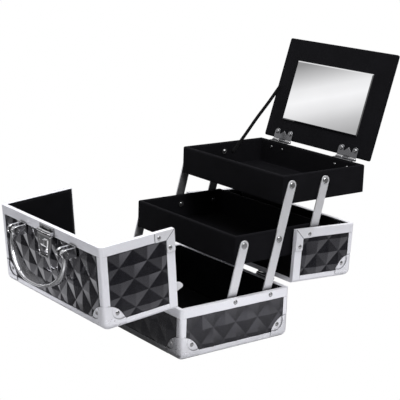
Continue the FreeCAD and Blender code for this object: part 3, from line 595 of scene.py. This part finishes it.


# The ribbon stay: a woven tape from the upper tray's wall to the open mirror lid

def make_ribbon_stay():
    wall = -TRAY_SIDE + TRAY_WALL + 0.1
    low = Vector((wall, MIRROR_REAR - 57.0, UPPER_TOP - 14.0))
    top = swung((wall, MIRROR_REAR - 75.5, MIRROR_UNDER), MIRROR_PIN, -MIRROR_OPEN)
    along = (top - low).normalized()
    side = along.cross(Vector((1, 0, 0)))
    start = low - along * 3.0
    length = (top - start).length - 0.6
    steps = 60
    section = [(-3.0, 0.1), (-2.6, 0.45), (0, 0.55), (2.6, 0.45), (3.0, 0.1)]
    section += [(2.6, -0.02), (0, -0.02), (-2.6, -0.02)]
    rings = []
    for k in range(steps + 1):
        t = k / steps
        twist = 0.10 * math.sin(math.pi * t)
        sway = 0.5 * math.sin(3 * math.pi * t) * math.sin(math.pi * t)
        centre = start + along * (length * t) + side * sway
        points = []
        for a, b in section:
            lift = b + 0.15 + abs(a) * math.sin(twist)
            points.append(centre + side * (a * math.cos(twist)) + Vector((lift, 0, 0)))
        rings.append(points)
    obj = new_piece("stay_ribbon_tape", lofted(rings), row, ribbon_cloth, None)
    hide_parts("stay_ribbon")
    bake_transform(obj)


make_ribbon_stay()


# The handle's bail: a chromed strap, thin at its eyes and broad in the grip, with a wavy inner edge

def bail_path(t):
    """The middle of the strap in the handle's plane, from the left pin round to the right one."""
    a = math.pi * (1 + t)
    x = 63.0 * math.copysign(abs(math.cos(a)) ** 0.86, math.cos(a))
    z = -51.0 * abs(math.sin(a)) ** 0.80
    return Vector((x * (1.0 + 0.055 * math.sin(math.pi * t) ** 0.5 * abs(math.cos(a))), z))


def make_bail():
    pivot_y = pivot("handle_swing")[0] - ORIGIN_Y
    pivot_z = pivot("handle_swing")[1]
    eye_x = 60.0
    steps = 120
    rings = []
    for k in range(steps + 1):
        t = k / steps
        here = bail_path(t)
        ahead = bail_path(min(1.0, t + 0.004)) - bail_path(max(0.0, t - 0.004))
        ahead.normalize()
        inward = Vector((-ahead.y, ahead.x))
        grip = max(0.0, math.sin(math.pi * t)) ** 1.6
        outer = 2.5 + 8.5 * grip
        wave = 1.1 * math.cos((t - 0.5) * 26) * math.exp(-((t - 0.5) / 0.19) ** 2)
        inner = 2.5 + 4.7 * grip + wave
        half = 2.2
        section = []
        for i in range(20):
            c, s = math.cos(2 * math.pi * i / 20), math.sin(2 * math.pi * i / 20)
            wide = math.copysign(abs(c) ** 0.45, c) * (inner if c > 0 else outer)
            thick = math.copysign(abs(s) ** 0.7, s) * half
            section.append((here.x + inward.x * thick, pivot_y + wide, pivot_z + here.y + inward.y * thick))
        rings.append(section)
    parts = [lofted(rings)]
    for sign in (1, -1):
        eye_rings = []
        for u, radius in ((-4.6, 2.3), (-4.6, 3.7), (-4.2, 4.2), (4.2, 4.2), (4.6, 3.7), (4.6, 2.3)):
            eye_rings.append([(sign * eye_x + u, pivot_y + radius * math.cos(2 * math.pi * i / 32),
                               pivot_z + radius * math.sin(2 * math.pi * i / 32)) for i in range(32)])
        parts.append(lofted(eye_rings))
    obj = new_piece("handle_bail_strap", joined(parts), row, bail_metal, "handle")
    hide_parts("handle_bail")


make_bail()


# Arms: flat bars with round ends and softened edges

ARM_INNER = TRAY_SIDE + 0.8


def arm_bar(side, foot, stages):
    """One arm as rings through its thickness, each a stadium drawn in slightly at the faces."""
    length = ARM_LENGTH * stages
    rings = []
    soft = ((0.45, 0.0), (0.13, 0.13), (0.0, 0.45))
    layers = soft + tuple((inset, ARM_THICK - depth) for inset, depth in reversed(soft))
    for inset, depth in layers:
        points = []
        for middle, start in ((0.0, math.pi), (length, 0.0)):
            for i in range(25):
                a = start + math.pi * i / 24
                across = (ARM_HALF - inset) * math.cos(a)
                along = middle + (ARM_HALF - inset) * math.sin(a)
                points.append((side * (ARM_INNER + depth),
                               foot[0] + along * math.sin(ARM_LEAN) + across * math.cos(ARM_LEAN),
                               foot[1] + along * math.cos(ARM_LEAN) - across * math.sin(ARM_LEAN)))
        rings.append(points)
    return lofted(rings)


def make_arms():
    feet = {"front_arms": (ARM_FOOT, 1),
            "long_arms": ((ARM_FOOT[0] + ARM_SPACING, ARM_FOOT[1]), 2),
            "rear_arms": ((ARM_FOOT[0] + 2 * ARM_SPACING + ARM_RISE[0], ARM_FOOT[1] + ARM_RISE[1]), 1)}
    for name, (foot, stages) in feet.items():
        bars = joined([arm_bar(side, foot, stages) for side in (1, -1)])
        obj = new_piece(name + "_bars", bars, row, arm_metal, name, False)
        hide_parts(name)


make_arms()


# Locating tongues: thin tapered blades inside the front lid's side walls

TONGUE_X = 112.3
TONGUE_WIDE = 12.1
TONGUE_Y = -HALF_D + 18.4 + TONGUE_WIDE / 2


def make_tongues():
    outline = [(0.0, 11.0), (0.0, -1.5), (0.9, -5.0), (3.6, -12.2), (4.6, -13.3), (6.0, -13.5), (8.2, -12.9),
               (11.2, -9.6), (12.1, -7.0), (12.1, 11.0)]
    middle = TONGUE_WIDE / 2
    blades = []
    for side in (1, -1):
        rings = []
        for inset, depth in ((0.97, 0.0), (1.0, 0.25), (1.0, 0.85), (0.97, 1.1)):
            rings.append([(side * (TONGUE_X + depth), TONGUE_Y + (a - middle) * inset, Z_MATE + b * inset)
                          for a, b in outline])
        blades.append(lofted(rings))
    obj = new_piece("tongue_blades", joined(blades), front, arm_metal, "front_lid", False)
    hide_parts("locating_tongues")


make_tongues()


# The hasp: a stamped plate with a window, a raised barrel beside its middle and a foot lip

HASP_PIN = front((0, FRONT_SEAM - 8.0, Z_TOP + 3.6))
HASP_WINDOW = (7.0, -26.5, -18.5)


def hasp_half(v):
    """Half the plate's width at a height below its pin."""
    if v > -12.4:
        return 17.0 - 0.4 * max(0.0, v + 3.4)
    return 17.0 - 5.0 * min(1.0, (-12.4 - v) / 17.0)


def hasp_relief(x, v):
    """How far the stamped face stands out at a place on the plate."""
    edge = min(hasp_half(v) - abs(x), v + 31.0, -2.4 - v)
    face = 0.8 * min(1.0, max(0.0, (edge - 1.0) / 1.6))
    window = max(abs(x) - HASP_WINDOW[0], HASP_WINDOW[1] - v, v - HASP_WINDOW[2])
    if window < 2.2:
        face -= 0.55 * (1.0 - max(0.0, window) / 2.2)
    barrel = 1.0 - ((x - 5.5) / 5.0) ** 2
    if barrel > 0 and -17.4 < v < -7.4:
        face += 2.2 * math.sqrt(barrel) * min(1.0, (v + 17.4) / 1.2, (-7.4 - v) / 1.2)
    return face


def on_hasp(p):
    """A place across, up and out from the hasp's pin, in the row frame."""
    return HASP_PIN + Vector((p[0], -p[2], p[1])) / 1000


def make_hasp():
    half, low, high = HASP_WINDOW
    heights = [-31.0 + 0.75 * i for i in range(7)] + [low + (high - low) * i / 8 for i in range(9)]
    heights += [high + (-2.4 - high) * i / 22 for i in range(1, 23)]
    shares = [i / 10 for i in range(11)]
    columns = len(shares) * 2 + 13
    verts = []
    for face in (1, -1):
        for v in heights:
            wide = hasp_half(v)
            spread_x = [-wide + (wide - half) * t for t in shares]
            spread_x += [-half + 2 * half * (i + 1) / 14 for i in range(13)]
            spread_x += [half + (wide - half) * t for t in shares]
            for x in spread_x:
                out = 0.75 + hasp_relief(x, v) if face > 0 else -0.75
                verts.append((x, v, out))
    back = columns * len(heights)
    faces = []
    used = {}
    for j in range(len(heights) - 1):
        for i in range(columns - 1):
            a = j * columns + i
            if 10 <= i < columns - 11 and 7 <= j < 15:
                continue
            quad = (a, a + 1, a + columns + 1, a + columns)
            faces.append(quad)
            faces.append(tuple(back + k for k in reversed(quad)))
            for k in range(4):
                edge = (quad[k], quad[(k + 1) % 4])
                used[edge] = used.get(edge, 0) + 1
    for first, second in used:
        if (second, first) not in used:
            faces.append((second, first, first + back, second + back))
    parts = [(verts, faces)]
    third = 34.0 / 6
    knuckle = tube(-third, third, (0.0, 0.0), 2.2)
    neck = slab((-third, -0.75, -3.6), (third, 0.75, -1.4))
    lip = slab((-9.0, 0.4, -31.0), (9.0, 3.0, -29.5))
    for part_verts, part_faces in (knuckle, neck, lip):
        parts.append(([(x, v, w) for x, w, v in part_verts], part_faces))
    obj = new_piece("hasp_stamped", joined(parts), on_hasp, chrome, "hasp", False)
    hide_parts("hasp_plate")


# Butterfly hinges of the mirror lid

HINGE_X = 67.5
HINGE_HALF = 19.0
LOBE_X = 13.8
LEAF = 0.8


def tube(start_x, end_x, place, radius):
    """A knuckle along X with slightly rounded ends."""
    lip = 0.25
    turns = [2 * math.pi * i / 28 for i in range(28)]
    ends = ((start_x, radius - lip), (start_x + lip, radius), (end_x - lip, radius), (end_x, radius - lip))
    rings = []
    for x, r in ends:
        rings.append([(x, place[0] + r * math.cos(a), place[1] + r * math.sin(a)) for a in turns])
    return lofted(rings)


def slab(low, high):
    """A thin plate with small chamfers, as a loft along Z."""
    rings = []
    rise = high[2] - low[2]
    chamfer = min(0.2, rise / 3)
    for d, z in ((chamfer, 0), (0, chamfer), (0, rise - chamfer), (chamfer, rise)):
        x0, y0, x1, y1 = low[0] + d, low[1] + d, high[0] - d, high[1] - d
        rings.append([(x, y, low[2] + z) for x, y in ((x0, y0), (x1, y0), (x1, y1), (x0, y1))])
    return lofted(rings)


def wing_height(x):
    """How far the hinge's lid leaf reaches from the hinge side: two round lobes and a peak between them."""
    side = abs(x) - LOBE_X
    lobe = 8.6 + math.sqrt(max(0.0, 5.3 ** 2 - side ** 2)) if abs(side) < 5.3 else 0.0
    return max(6.4, lobe, 11.8 - 0.8 * abs(x))


def wing(middle):
    """The lobed leaf, drawn as columns from the hinge side to its outline, with a soft edge."""
    columns = 96
    root = MIRROR_REAR + 1.3
    rows = ((0.0, 0.25), (0.0, LEAF), (0.25, LEAF), (0.98, LEAF), (1.0, LEAF - 0.25), (1.0, 0.0))
    verts = []
    faces = []
    for k in range(columns + 1):
        x = -HINGE_HALF + 2 * HINGE_HALF * k / columns
        h = wing_height(x)
        for share, thick in rows:
            verts.append((middle + x, root - share * (h + root - MIRROR_REAR), MIRROR_UNDER - thick))
    n = len(rows)
    for k in range(columns):
        for i in range(n - 1):
            faces.append((k * n + i, (k + 1) * n + i, (k + 1) * n + i + 1, k * n + i + 1))
    return verts, faces


def make_mirror_hinges():
    third = HINGE_HALF / 3
    lid_parts = []
    tray_parts = []
    for x in (-HINGE_X, HINGE_X):
        lid_parts.append(wing(x))
        lid_parts.append(tube(x - third, x + third, MIRROR_PIN, 1.7))
        lid_parts.append(slab((x - third, MIRROR_REAR - 0.6, MIRROR_UNDER - LEAF),
                              (x + third, MIRROR_PIN[0], MIRROR_UNDER)))
        tray_parts.append(slab((x - HINGE_HALF, MIRROR_REAR - 4.6, UPPER_TOP),
                               (x + HINGE_HALF, MIRROR_REAR, UPPER_TOP + LEAF)))
        for start, end in ((-HINGE_HALF, -third - 0.3), (third + 0.3, HINGE_HALF)):
            tray_parts.append(tube(x + start, x + end, MIRROR_PIN, 1.7))
            tray_parts.append(slab((x + start, MIRROR_REAR - 0.6, UPPER_TOP),
                                   (x + end, MIRROR_PIN[0], UPPER_TOP + LEAF)))
    leaf = new_piece("mirror_hinge_wings", joined(lid_parts), raised, hinge_metal, "mirror_lid",
                     False)
    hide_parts("mirror_hinge_lid_leaves")
    seat = new_piece("mirror_hinge_seats", joined(tray_parts), row, nickel, "upper_tray",
                     False)
    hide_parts("mirror_hinge_tray_leaves")


make_mirror_hinges()
make_hasp()


# Screw and rivet heads, set out with one geometry node tree

def head_mesh(name, crossed):
    """A domed head of radius 1 on the plane z 0, with a cross recess if it is a screw."""
    turns = 48
    levels = [0.0, 0.12, 0.2, 0.3, 0.42, 0.54, 0.64, 0.74, 0.86, 0.95, 1.0]
    rings = []
    for r in levels[1:]:
        points = []
        for i in range(turns):
            a = 2 * math.pi * i / turns
            x, y = r * math.cos(a), r * math.sin(a)
            z = 0.42 * math.sqrt(max(0.0, 1 - r * r)) + 0.08
            if crossed and r < 0.66 and min(abs(x), abs(y)) < 0.13:
                z -= 0.3
            points.append((x, y, z))
        rings.append(points)
    rings.append([(x, y, 0.0) for x, y, z in rings[-1]])
    verts, faces = lofted(rings)
    mesh = bpy.data.meshes.new(name)
    mesh.from_pydata(verts, [], faces)
    mesh.polygons.foreach_set("use_smooth", [not crossed] * len(mesh.polygons))
    return bpy.data.objects.new(name, mesh)


def heads_tree():
    """Points with a facing in, heads standing on them out."""
    tree = bpy.data.node_groups.new("set_heads", "GeometryNodeTree")
    tree.interface.new_socket("Geometry", in_out="INPUT", socket_type="NodeSocketGeometry")
    head = tree.interface.new_socket("Head", in_out="INPUT", socket_type="NodeSocketObject")
    size = tree.interface.new_socket("Size", in_out="INPUT", socket_type="NodeSocketFloat")
    finish = tree.interface.new_socket("Finish", in_out="INPUT", socket_type="NodeSocketMaterial")
    tree.interface.new_socket("Geometry", in_out="OUTPUT", socket_type="NodeSocketGeometry")
    given = tree.nodes.new("NodeGroupInput")
    result = tree.nodes.new("NodeGroupOutput")
    points = tree.nodes.new("GeometryNodeMeshToPoints")
    info = tree.nodes.new("GeometryNodeObjectInfo")
    facing = tree.nodes.new("GeometryNodeInputNamedAttribute")
    facing.data_type = "FLOAT_VECTOR"
    facing.inputs["Name"].default_value = "facing"
    align = tree.nodes.new("FunctionNodeAlignRotationToVector")
    align.axis = "Z"
    set_out = tree.nodes.new("GeometryNodeInstanceOnPoints")
    real = tree.nodes.new("GeometryNodeRealizeInstances")
    paint = tree.nodes.new("GeometryNodeSetMaterial")
    link = tree.links.new
    link(given.outputs["Geometry"], points.inputs["Mesh"])
    link(given.outputs["Head"], info.inputs["Object"])
    link(facing.outputs["Attribute"], align.inputs["Vector"])
    link(points.outputs["Points"], set_out.inputs["Points"])
    link(info.outputs["Geometry"], set_out.inputs["Instance"])
    link(align.outputs["Rotation"], set_out.inputs["Rotation"])
    link(given.outputs["Size"], set_out.inputs["Scale"])
    link(set_out.outputs["Instances"], real.inputs["Geometry"])
    link(real.outputs["Geometry"], paint.inputs["Geometry"])
    link(given.outputs["Finish"], paint.inputs["Material"])
    link(paint.outputs["Geometry"], result.inputs["Geometry"])
    return tree, head.identifier, size.identifier, finish.identifier


SCREW = head_mesh("screw_head", True)
RIVET = head_mesh("rivet_head", False)
HEADS, HEAD_INPUT, SIZE_INPUT, FINISH_INPUT = heads_tree()


def set_heads(name, head, radius, finish, body, places):
    """Heads of one size, each at a point that comes with a point above it, both in the row frame."""
    mesh = bpy.data.meshes.new(name)
    mesh.from_pydata([tuple(p) for p, q in places], [], [])
    facing = mesh.attributes.new("facing", "FLOAT_VECTOR", "POINT")
    for value, (p, q) in zip(facing.data, places):
        value.vector = (q - p).normalized()
    obj = placed(name, mesh)
    modifier = obj.modifiers.new("heads", "NODES")
    modifier.node_group = HEADS
    modifier[HEAD_INPUT] = head
    modifier[SIZE_INPUT] = radius / 1000
    modifier[FINISH_INPUT] = finish
    bpy.context.view_layer.update()
    baked(obj)
    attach(obj, body)


def spots(place, points, up):
    """Each point with one a millimetre above it, both put in their place."""
    return [(place(p), place(Vector(p) + Vector(up))) for p in points]


def make_mirror_hinge_heads():
    lobes = [x + dx for x in (-HINGE_X, HINGE_X) for dx in (-LOBE_X, LOBE_X)]
    wing_points = [(x, MIRROR_REAR - 8.9, MIRROR_UNDER - LEAF) for x in lobes]
    set_heads("mirror_hinge_screws", SCREW, 3.1, rivet_metal, "mirror_lid",
              spots(raised, wing_points, (0, 0, -1)))
    tail_x = [x + dx for x in (-HINGE_X, HINGE_X) for dx in (-12.0, 12.0)]
    tails = [(x, MIRROR_REAR - TRAY_WALL, UPPER_TOP - 9.0) for x in tail_x]
    set_heads("mirror_hinge_tails", RIVET, 1.9, rivet_metal, "upper_tray",
              spots(row, tails, (0, -1, 0)))


def make_tray_rivets():
    """The domes inside the trays' walls, three on each side of the lower tray and two of the upper one."""
    seat = 103.0
    for name, low_y, bottom, count in (("lower_tray", LOWER_FRONT, LOWER_BOTTOM, 3),
                                       ("upper_tray", UPPER_FRONT, UPPER_BOTTOM, 2)):
        found = []
        for sign in (1, -1):
            points = [(sign * seat, low_y + TRAY_RIVET[0] + ARM_SPACING * k, bottom + TRAY_RIVET[1])
                      for k in range(count)]
            found += spots(row, points, (-sign, 0, 0))
        set_heads(name + "_rivet_domes", RIVET, 2.2, rivet_metal, name, found)


def make_arm_rivets():
    """The shouldered rivets at the arms' feet, with domes on the base's sides."""
    shanks = []
    heads = []
    steps = ((ARM_INNER - 1.08, ARM_INNER - 0.08, 4.2), (ARM_INNER - 0.2, HALF_W, 2.0),
             (ARM_INNER + ARM_THICK + 0.08, HALF_W - INSET, 5.0))
    for sign in (1, -1):
        for y in (ARM_FOOT[0], ARM_FOOT[0] + ARM_SPACING):
            for start, end, radius in steps:
                verts, faces = tube(start, end, (y, ARM_FOOT[1]), radius)
                shanks.append(([(sign * x, sign * (v - y) + y, z) for x, v, z in verts], faces))
            heads += spots(row, [(sign * HALF_W, y, ARM_FOOT[1])], (sign, 0, 0))
    obj = new_piece("arm_rivet_shanks", joined(shanks), row, rivet_metal, "base", False)
    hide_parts("arm_base_rivets")
    set_heads("arm_rivet_domes", RIVET, 3.0, rivet_metal, "base", heads)


def make_lid_hinge_screws():
    hinge_x, apart, off_pin, thick = 66.0, 10.5, 7.6, 1.2
    leaf_x = [x + dx for x in (-hinge_x, hinge_x) for dx in (-apart, 0.0, apart)]
    on_base = [(x, -HALF_D - thick, Z_PIN - off_pin) for x in leaf_x]
    on_lid = [(x, -HALF_D - thick, Z_PIN + off_pin) for x in leaf_x]
    base_screws = spots(row, on_base, (0, -1, 0))
    base_screws += spots(row, [(x, -y, z) for x, y, z in on_base], (0, 1, 0))
    set_heads("base_hinge_screws", SCREW, 1.7, nickel, "base", base_screws)
    set_heads("front_lid_hinge_screws", SCREW, 1.7, nickel, "front_lid",
              spots(front, on_lid, (0, -1, 0)))
    set_heads("rear_lid_hinge_screws", SCREW, 1.7, nickel, "rear_lid",
              spots(rear, on_lid, (0, -1, 0)))


def make_latch_rivets():
    hasp_points = [(x, FRONT_SEAM - 3.6, Z_TOP + 1.2) for x in (-9.0, 9.0)]
    set_heads("hasp_leaf_rivets", RIVET, 1.7, nickel, "front_lid",
              spots(front, hasp_points, (0, 0, 1)))
    dots = [(-9.5, v, 1.5) for v in (-8.0, -11.6)]
    set_heads("hasp_dots", RIVET, 1.2, rivet_metal, "hasp", spots(on_hasp, dots, (0, 0, 1)))
    catch_face = Z_TOP + 2.25
    catch_points = [(x, -30.0 + dy, catch_face) for x in (-12.5, 12.5) for dy in (-10.0, 10.0)]
    set_heads("catch_rivets", RIVET, 1.9, chrome, "rear_lid", spots(rear, catch_points, (0, 0, 1)))


def make_tongue_rivets():
    tongue = [(sign * TONGUE_X, TONGUE_Y, Z_MATE + dz) for sign in (1, -1) for dz in (3.5, 8.0)]
    found = []
    for point in tongue:
        found += spots(front, [point], (-math.copysign(1, point[0]), 0, 0))
    set_heads("tongue_rivets", RIVET, 1.4, rivet_metal, "front_lid", found)


make_mirror_hinge_heads()
make_tray_rivets()
make_arm_rivets()
make_lid_hinge_screws()
make_latch_rivets()
make_tongue_rivets()


# CAD nodes that show: softened edges and their finishes

def plain(name, material):
    node = nodes[name]
    node.data.materials.clear()
    node.data.materials.append(material)
    return node


def softened(name, material, width, segments=2, angle=35):
    node = plain(name, material)
    weld = node.modifiers.new("weld", "WELD")
    weld.merge_threshold = 2e-6
    soft = node.modifiers.new("edge", "BEVEL")
    soft.width = width / 1000
    soft.segments = segments
    soft.limit_method = "ANGLE"
    soft.angle_limit = math.radians(angle)
    soft.use_clamp_overlap = True
    even = node.modifiers.new("even", "WEIGHTED_NORMAL")
    even.keep_sharp = True
    even.weight = 80


for wall in ("front", "rear", "left", "right"):
    softened("base_" + wall + "_panel", skin, 0.35)
for lid in ("front_lid", "rear_lid"):
    for wall in ("top", "end", "left", "right"):
        softened(lid + "_" + wall + "_panel", skin, 0.35)
    softened(lid + "_edge_bars", aluminium, 0.35)
    softened(lid + "_rim", aluminium, 0.35)
    softened(lid + "_corner_caps", cap_metal, 0.3, 2, 55)
    plain(lid + "_rivets", rivet_metal)
    softened(lid + "_hinge_leaves", nickel, 0.2)
softened("front_lid_corner_plates", front_plate, 0.25)
softened("rear_lid_corner_plates", rear_plate, 0.25)
softened("base_edge_bars", shaded_base_aluminium, 0.35)
softened("base_rim", aluminium, 0.35)
softened("base_corner_caps", shaded_base_cap_metal, 0.3, 2, 55)
softened("base_hinge_leaves", nickel, 0.2)
softened("base_floor_board", dark_board, 0.4)
softened("handle_brackets", chrome, 0.4, 3)
softened("hasp_leaf", chrome, 0.25)
softened("latch_catch", chrome, 0.3)
for name in ("base_cap_rivets", "lower_tray_rivets", "upper_tray_rivets", "lid_hinge_pins",
             "handle_pins", "hasp_pin", "mirror_hinge_pins"):
    plain(name, rivet_metal)


# Camera, floor and light

def make_camera():
    yaw, pitch, roll = math.radians(52.545), math.radians(-14.03), math.radians(1.85)
    ahead = Vector((-math.sin(yaw) * math.cos(pitch), math.cos(yaw) * math.cos(pitch), math.sin(pitch)))
    right = Vector((math.cos(yaw), math.sin(yaw), 0))
    up = right.cross(ahead)
    right_rolled = right * math.cos(roll) + up * math.sin(roll)
    up_rolled = up * math.cos(roll) - right * math.sin(roll)
    data = bpy.data.cameras.new("camera")
    data.sensor_width = 36.0
    data.lens = 106.86
    data.clip_start = 0.05
    data.clip_end = 50.0
    camera = placed("camera", data)
    turn = Matrix((right_rolled, up_rolled, -ahead)).transposed().to_4x4()
    camera.matrix_world = Matrix.Translation(row((1219.44, -906.39, 549.3))) @ turn
    bpy.context.scene.camera = camera


make_camera()


def grey(level):
    return (level, level, level * 1.015)


def greys(*stops):
    return [(place, grey(level)) for place, level in stops]


# Painted light that the floor shows to reflections: glowing stripes, a bright band and a bright patch; and a
# painted shadow under the front lid.
FLOOR_GLOW_STOPS = greys((0.06, 0.06), (0.30, 0.10), (0.40, 0.16), (0.462, 0.32), (0.482, 0.45), (0.503, 0.9),
                    (0.523, 0.78), (0.55, 0.54), (0.6, 0.4), (0.7, 0.2), (0.9, 0.08))
LIT_BAND_STOPS = greys((0.17, 0.05), (0.29, 0.08), (0.325, 0.17), (0.354, 0.36), (0.379, 1.1), (0.396, 1.1),
                    (0.408, 0.12), (0.62, 0.08))
LEFT_STOPS = greys((0.29, 1.0), (0.34, 0.1))
LIT_PATCH_X = greys((0.49, 0.0), (0.52, 1.0), (0.6, 1.0), (0.65, 0.0))
LIT_PATCH_Y = greys((0.492, 0.0), (0.517, 1.0), (0.567, 1.0), (0.6, 0.0))
PAINTED_SHADOW_X = greys((0.24, 0.8), (0.3, 0.15), (0.43, 0.15), (0.455, 0.8))
PAINTED_SHADOW_Y = greys((0.37, 0.8), (0.4, 0.15), (0.47, 0.15), (0.5, 0.8))


def stage_sheet(name, corners):
    """A four-cornered sheet that is no piece of the case, with an empty material tree and its output node."""
    mesh = bpy.data.meshes.new(name)
    mesh.from_pydata(corners, [], [(0, 1, 2, 3)])
    material = bpy.data.materials.new(name)
    material.use_nodes = True
    material.node_tree.nodes.clear()
    mesh.materials.append(material)
    out = add_node(material.node_tree, "OutputMaterial")
    return placed(name, mesh), material.node_tree, out


def by_ray(tree, ray, others, seen):
    """One shader for a kind of ray and one for all others."""
    path = add_node(tree, "LightPath")
    return add_node(tree, "MixShader", {"Fac": path.outputs[ray], 1: others, 2: seen}).outputs["Shader"]


def make_floor():
    """White to the camera, light grey to light that bounces off it, with a painted shadow under the front
    lid.

    Reflections see painted light glowing on the floor: stripes that run along Y, a bright band before the
    front lid's left end and a bright patch on the right of the base.
    """
    side = 6.0
    corners = [(-side, -side, 0), (side, -side, 0), (side, side, 0), (-side, side, 0)]
    floor, tree, out = stage_sheet("floor", corners)
    floor.location.z = -0.0002
    place = add_node(tree, "TexCoord")
    split = add_node(tree, "SeparateXYZ", {"Vector": place.outputs["Object"]})
    across = rescaled(tree, split.outputs["X"], -0.6, 1.0)
    along = rescaled(tree, split.outputs["Y"], -1.2, 1.2)
    # Painted light seen in reflections: a bright band before the front lid's left end and a lit patch on the
    # right of the base.
    band = mixed(tree, "MULTIPLY", ramp(tree, along, LIT_BAND_STOPS), ramp(tree, across, LEFT_STOPS))
    beside = mixed(tree, "MULTIPLY", ramp(tree, across, LIT_PATCH_X), ramp(tree, along, LIT_PATCH_Y))
    both = mixed(tree, "LIGHTEN", ramp(tree, across, FLOOR_GLOW_STOPS), band)
    # Painted shadow under the front lid, in the colour of the light the floor bounces.
    under = mixed(tree, "LIGHTEN", ramp(tree, across, PAINTED_SHADOW_X), ramp(tree, along, PAINTED_SHADOW_Y))
    matt = add_node(tree, "BsdfDiffuse", {"Color": under}).outputs["BSDF"]
    seen = add_node(tree, "Emission", {"Color": mixed(tree, "LIGHTEN", both, beside)}).outputs["Emission"]
    white = add_node(tree, "Emission").outputs["Emission"]
    glossy = by_ray(tree, "Is Glossy Ray", matt, seen)
    fill_in(tree, out, {"Surface": by_ray(tree, "Is Camera Ray", glossy, white)})


make_floor()


STUDIO_STOPS = greys((0.0, 0.10), (0.3, 0.07), (0.55, 0.3), (0.9, 0.9))


def make_world():
    """White to the camera. Reflections see a white backdrop behind the case and a dim studio elsewhere."""
    world = bpy.data.worlds.new("studio")
    bpy.context.scene.world = world
    world.use_nodes = True
    tree = world.node_tree
    tree.nodes.clear()
    place = add_node(tree, "TexCoord").outputs["Object"]
    split = add_node(tree, "SeparateXYZ", {"Vector": place})
    height = ramp(tree, split.outputs["Z"], STUDIO_STOPS)
    behind = ramp(tree, along_line(tree, place, (-0.79, 0.61, 0.0)), greys((0.3, 0.0), (0.75, 1.0)))
    studio = mixed(tree, "MIX", height, (*grey(1.1), 1), behind)
    dim = add_node(tree, "Background", {"Color": studio}).outputs["Background"]
    fill = add_node(tree, "Background", {"Color": (*grey(0.42), 1)}).outputs["Background"]
    white = add_node(tree, "Background", {"Color": (1, 1, 1, 1)}).outputs["Background"]
    glossy = by_ray(tree, "Is Glossy Ray", fill, dim)
    add_node(tree, "OutputWorld", {"Surface": by_ray(tree, "Is Camera Ray", glossy, white)})


make_world()


CARD_SLANT = (-2.266, -2.347, 0.0)
CARD_START = 3.103
CARD_STOPS = greys((0.0, 0.31), (0.17, 0.57), (0.34, 0.87), (0.5, 0.97), (0.67, 0.82), (0.84, 0.59),
                   (1.0, 0.45))


def make_mirror_card():
    """A white card in front of the mirror, brightest along a slanting band. Only reflections see it."""
    middle = raised((0, MIRROR_REAR - 73.5, MIRROR_UNDER))
    facing = Vector((-0.770, -0.623, 0.134)).normalized()
    across = facing.cross(Vector((0, 0, 1))).normalized()
    up = across.cross(facing)
    centre = middle + facing * 0.7
    half_wide, half_tall = 0.26, 0.22
    corners = [centre + across * (sx * half_wide) + up * (sy * half_tall) for sx, sy in
               ((-1, -1), (1, -1), (1, 1), (-1, 1))]
    card, tree, out = stage_sheet("mirror_card", [tuple(c) for c in corners])
    layer = card.data.uv_layers.new(name="card")
    for loop, uv in zip(layer.data, ((0, 0), (1, 0), (1, 1), (0, 1))):
        loop.uv = uv
    place = add_node(tree, "UVMap", uv_map="card").outputs["UV"]
    slant = number_math(tree, "ADD", along_line(tree, place, CARD_SLANT), CARD_START)
    glow = add_node(tree, "Emission", {"Color": ramp(tree, slant, CARD_STOPS)}).outputs["Emission"]
    clear = add_node(tree, "BsdfTransparent").outputs["BSDF"]
    fill_in(tree, out, {"Surface": by_ray(tree, "Is Glossy Ray", clear, glow)})


make_mirror_card()


def soft_light(name, place, target, size, power):
    data = bpy.data.lights.new(name, "AREA")
    data.shape = "RECTANGLE"
    data.size, data.size_y = size
    data.energy = power
    light = placed(name, data)
    light.location = place
    light.rotation_mode = "QUATERNION"
    light.rotation_quaternion = (Vector(target) - Vector(place)).to_track_quat("-Z", "Y")


soft_light("key", (1.05, -0.18, 1.85), (0, 0, 0.1), (0.9, 0.9), 32)
soft_light("overhead", (-0.2, 0.2, 1.9), (0, 0, 0), (1.4, 1.4), 12)
soft_light("left", (-0.95, -1.5, 0.3), (0, -0.25, 0.1), (0.45, 0.5), 1.5)

bpy.context.scene.view_settings.view_transform = "Standard"
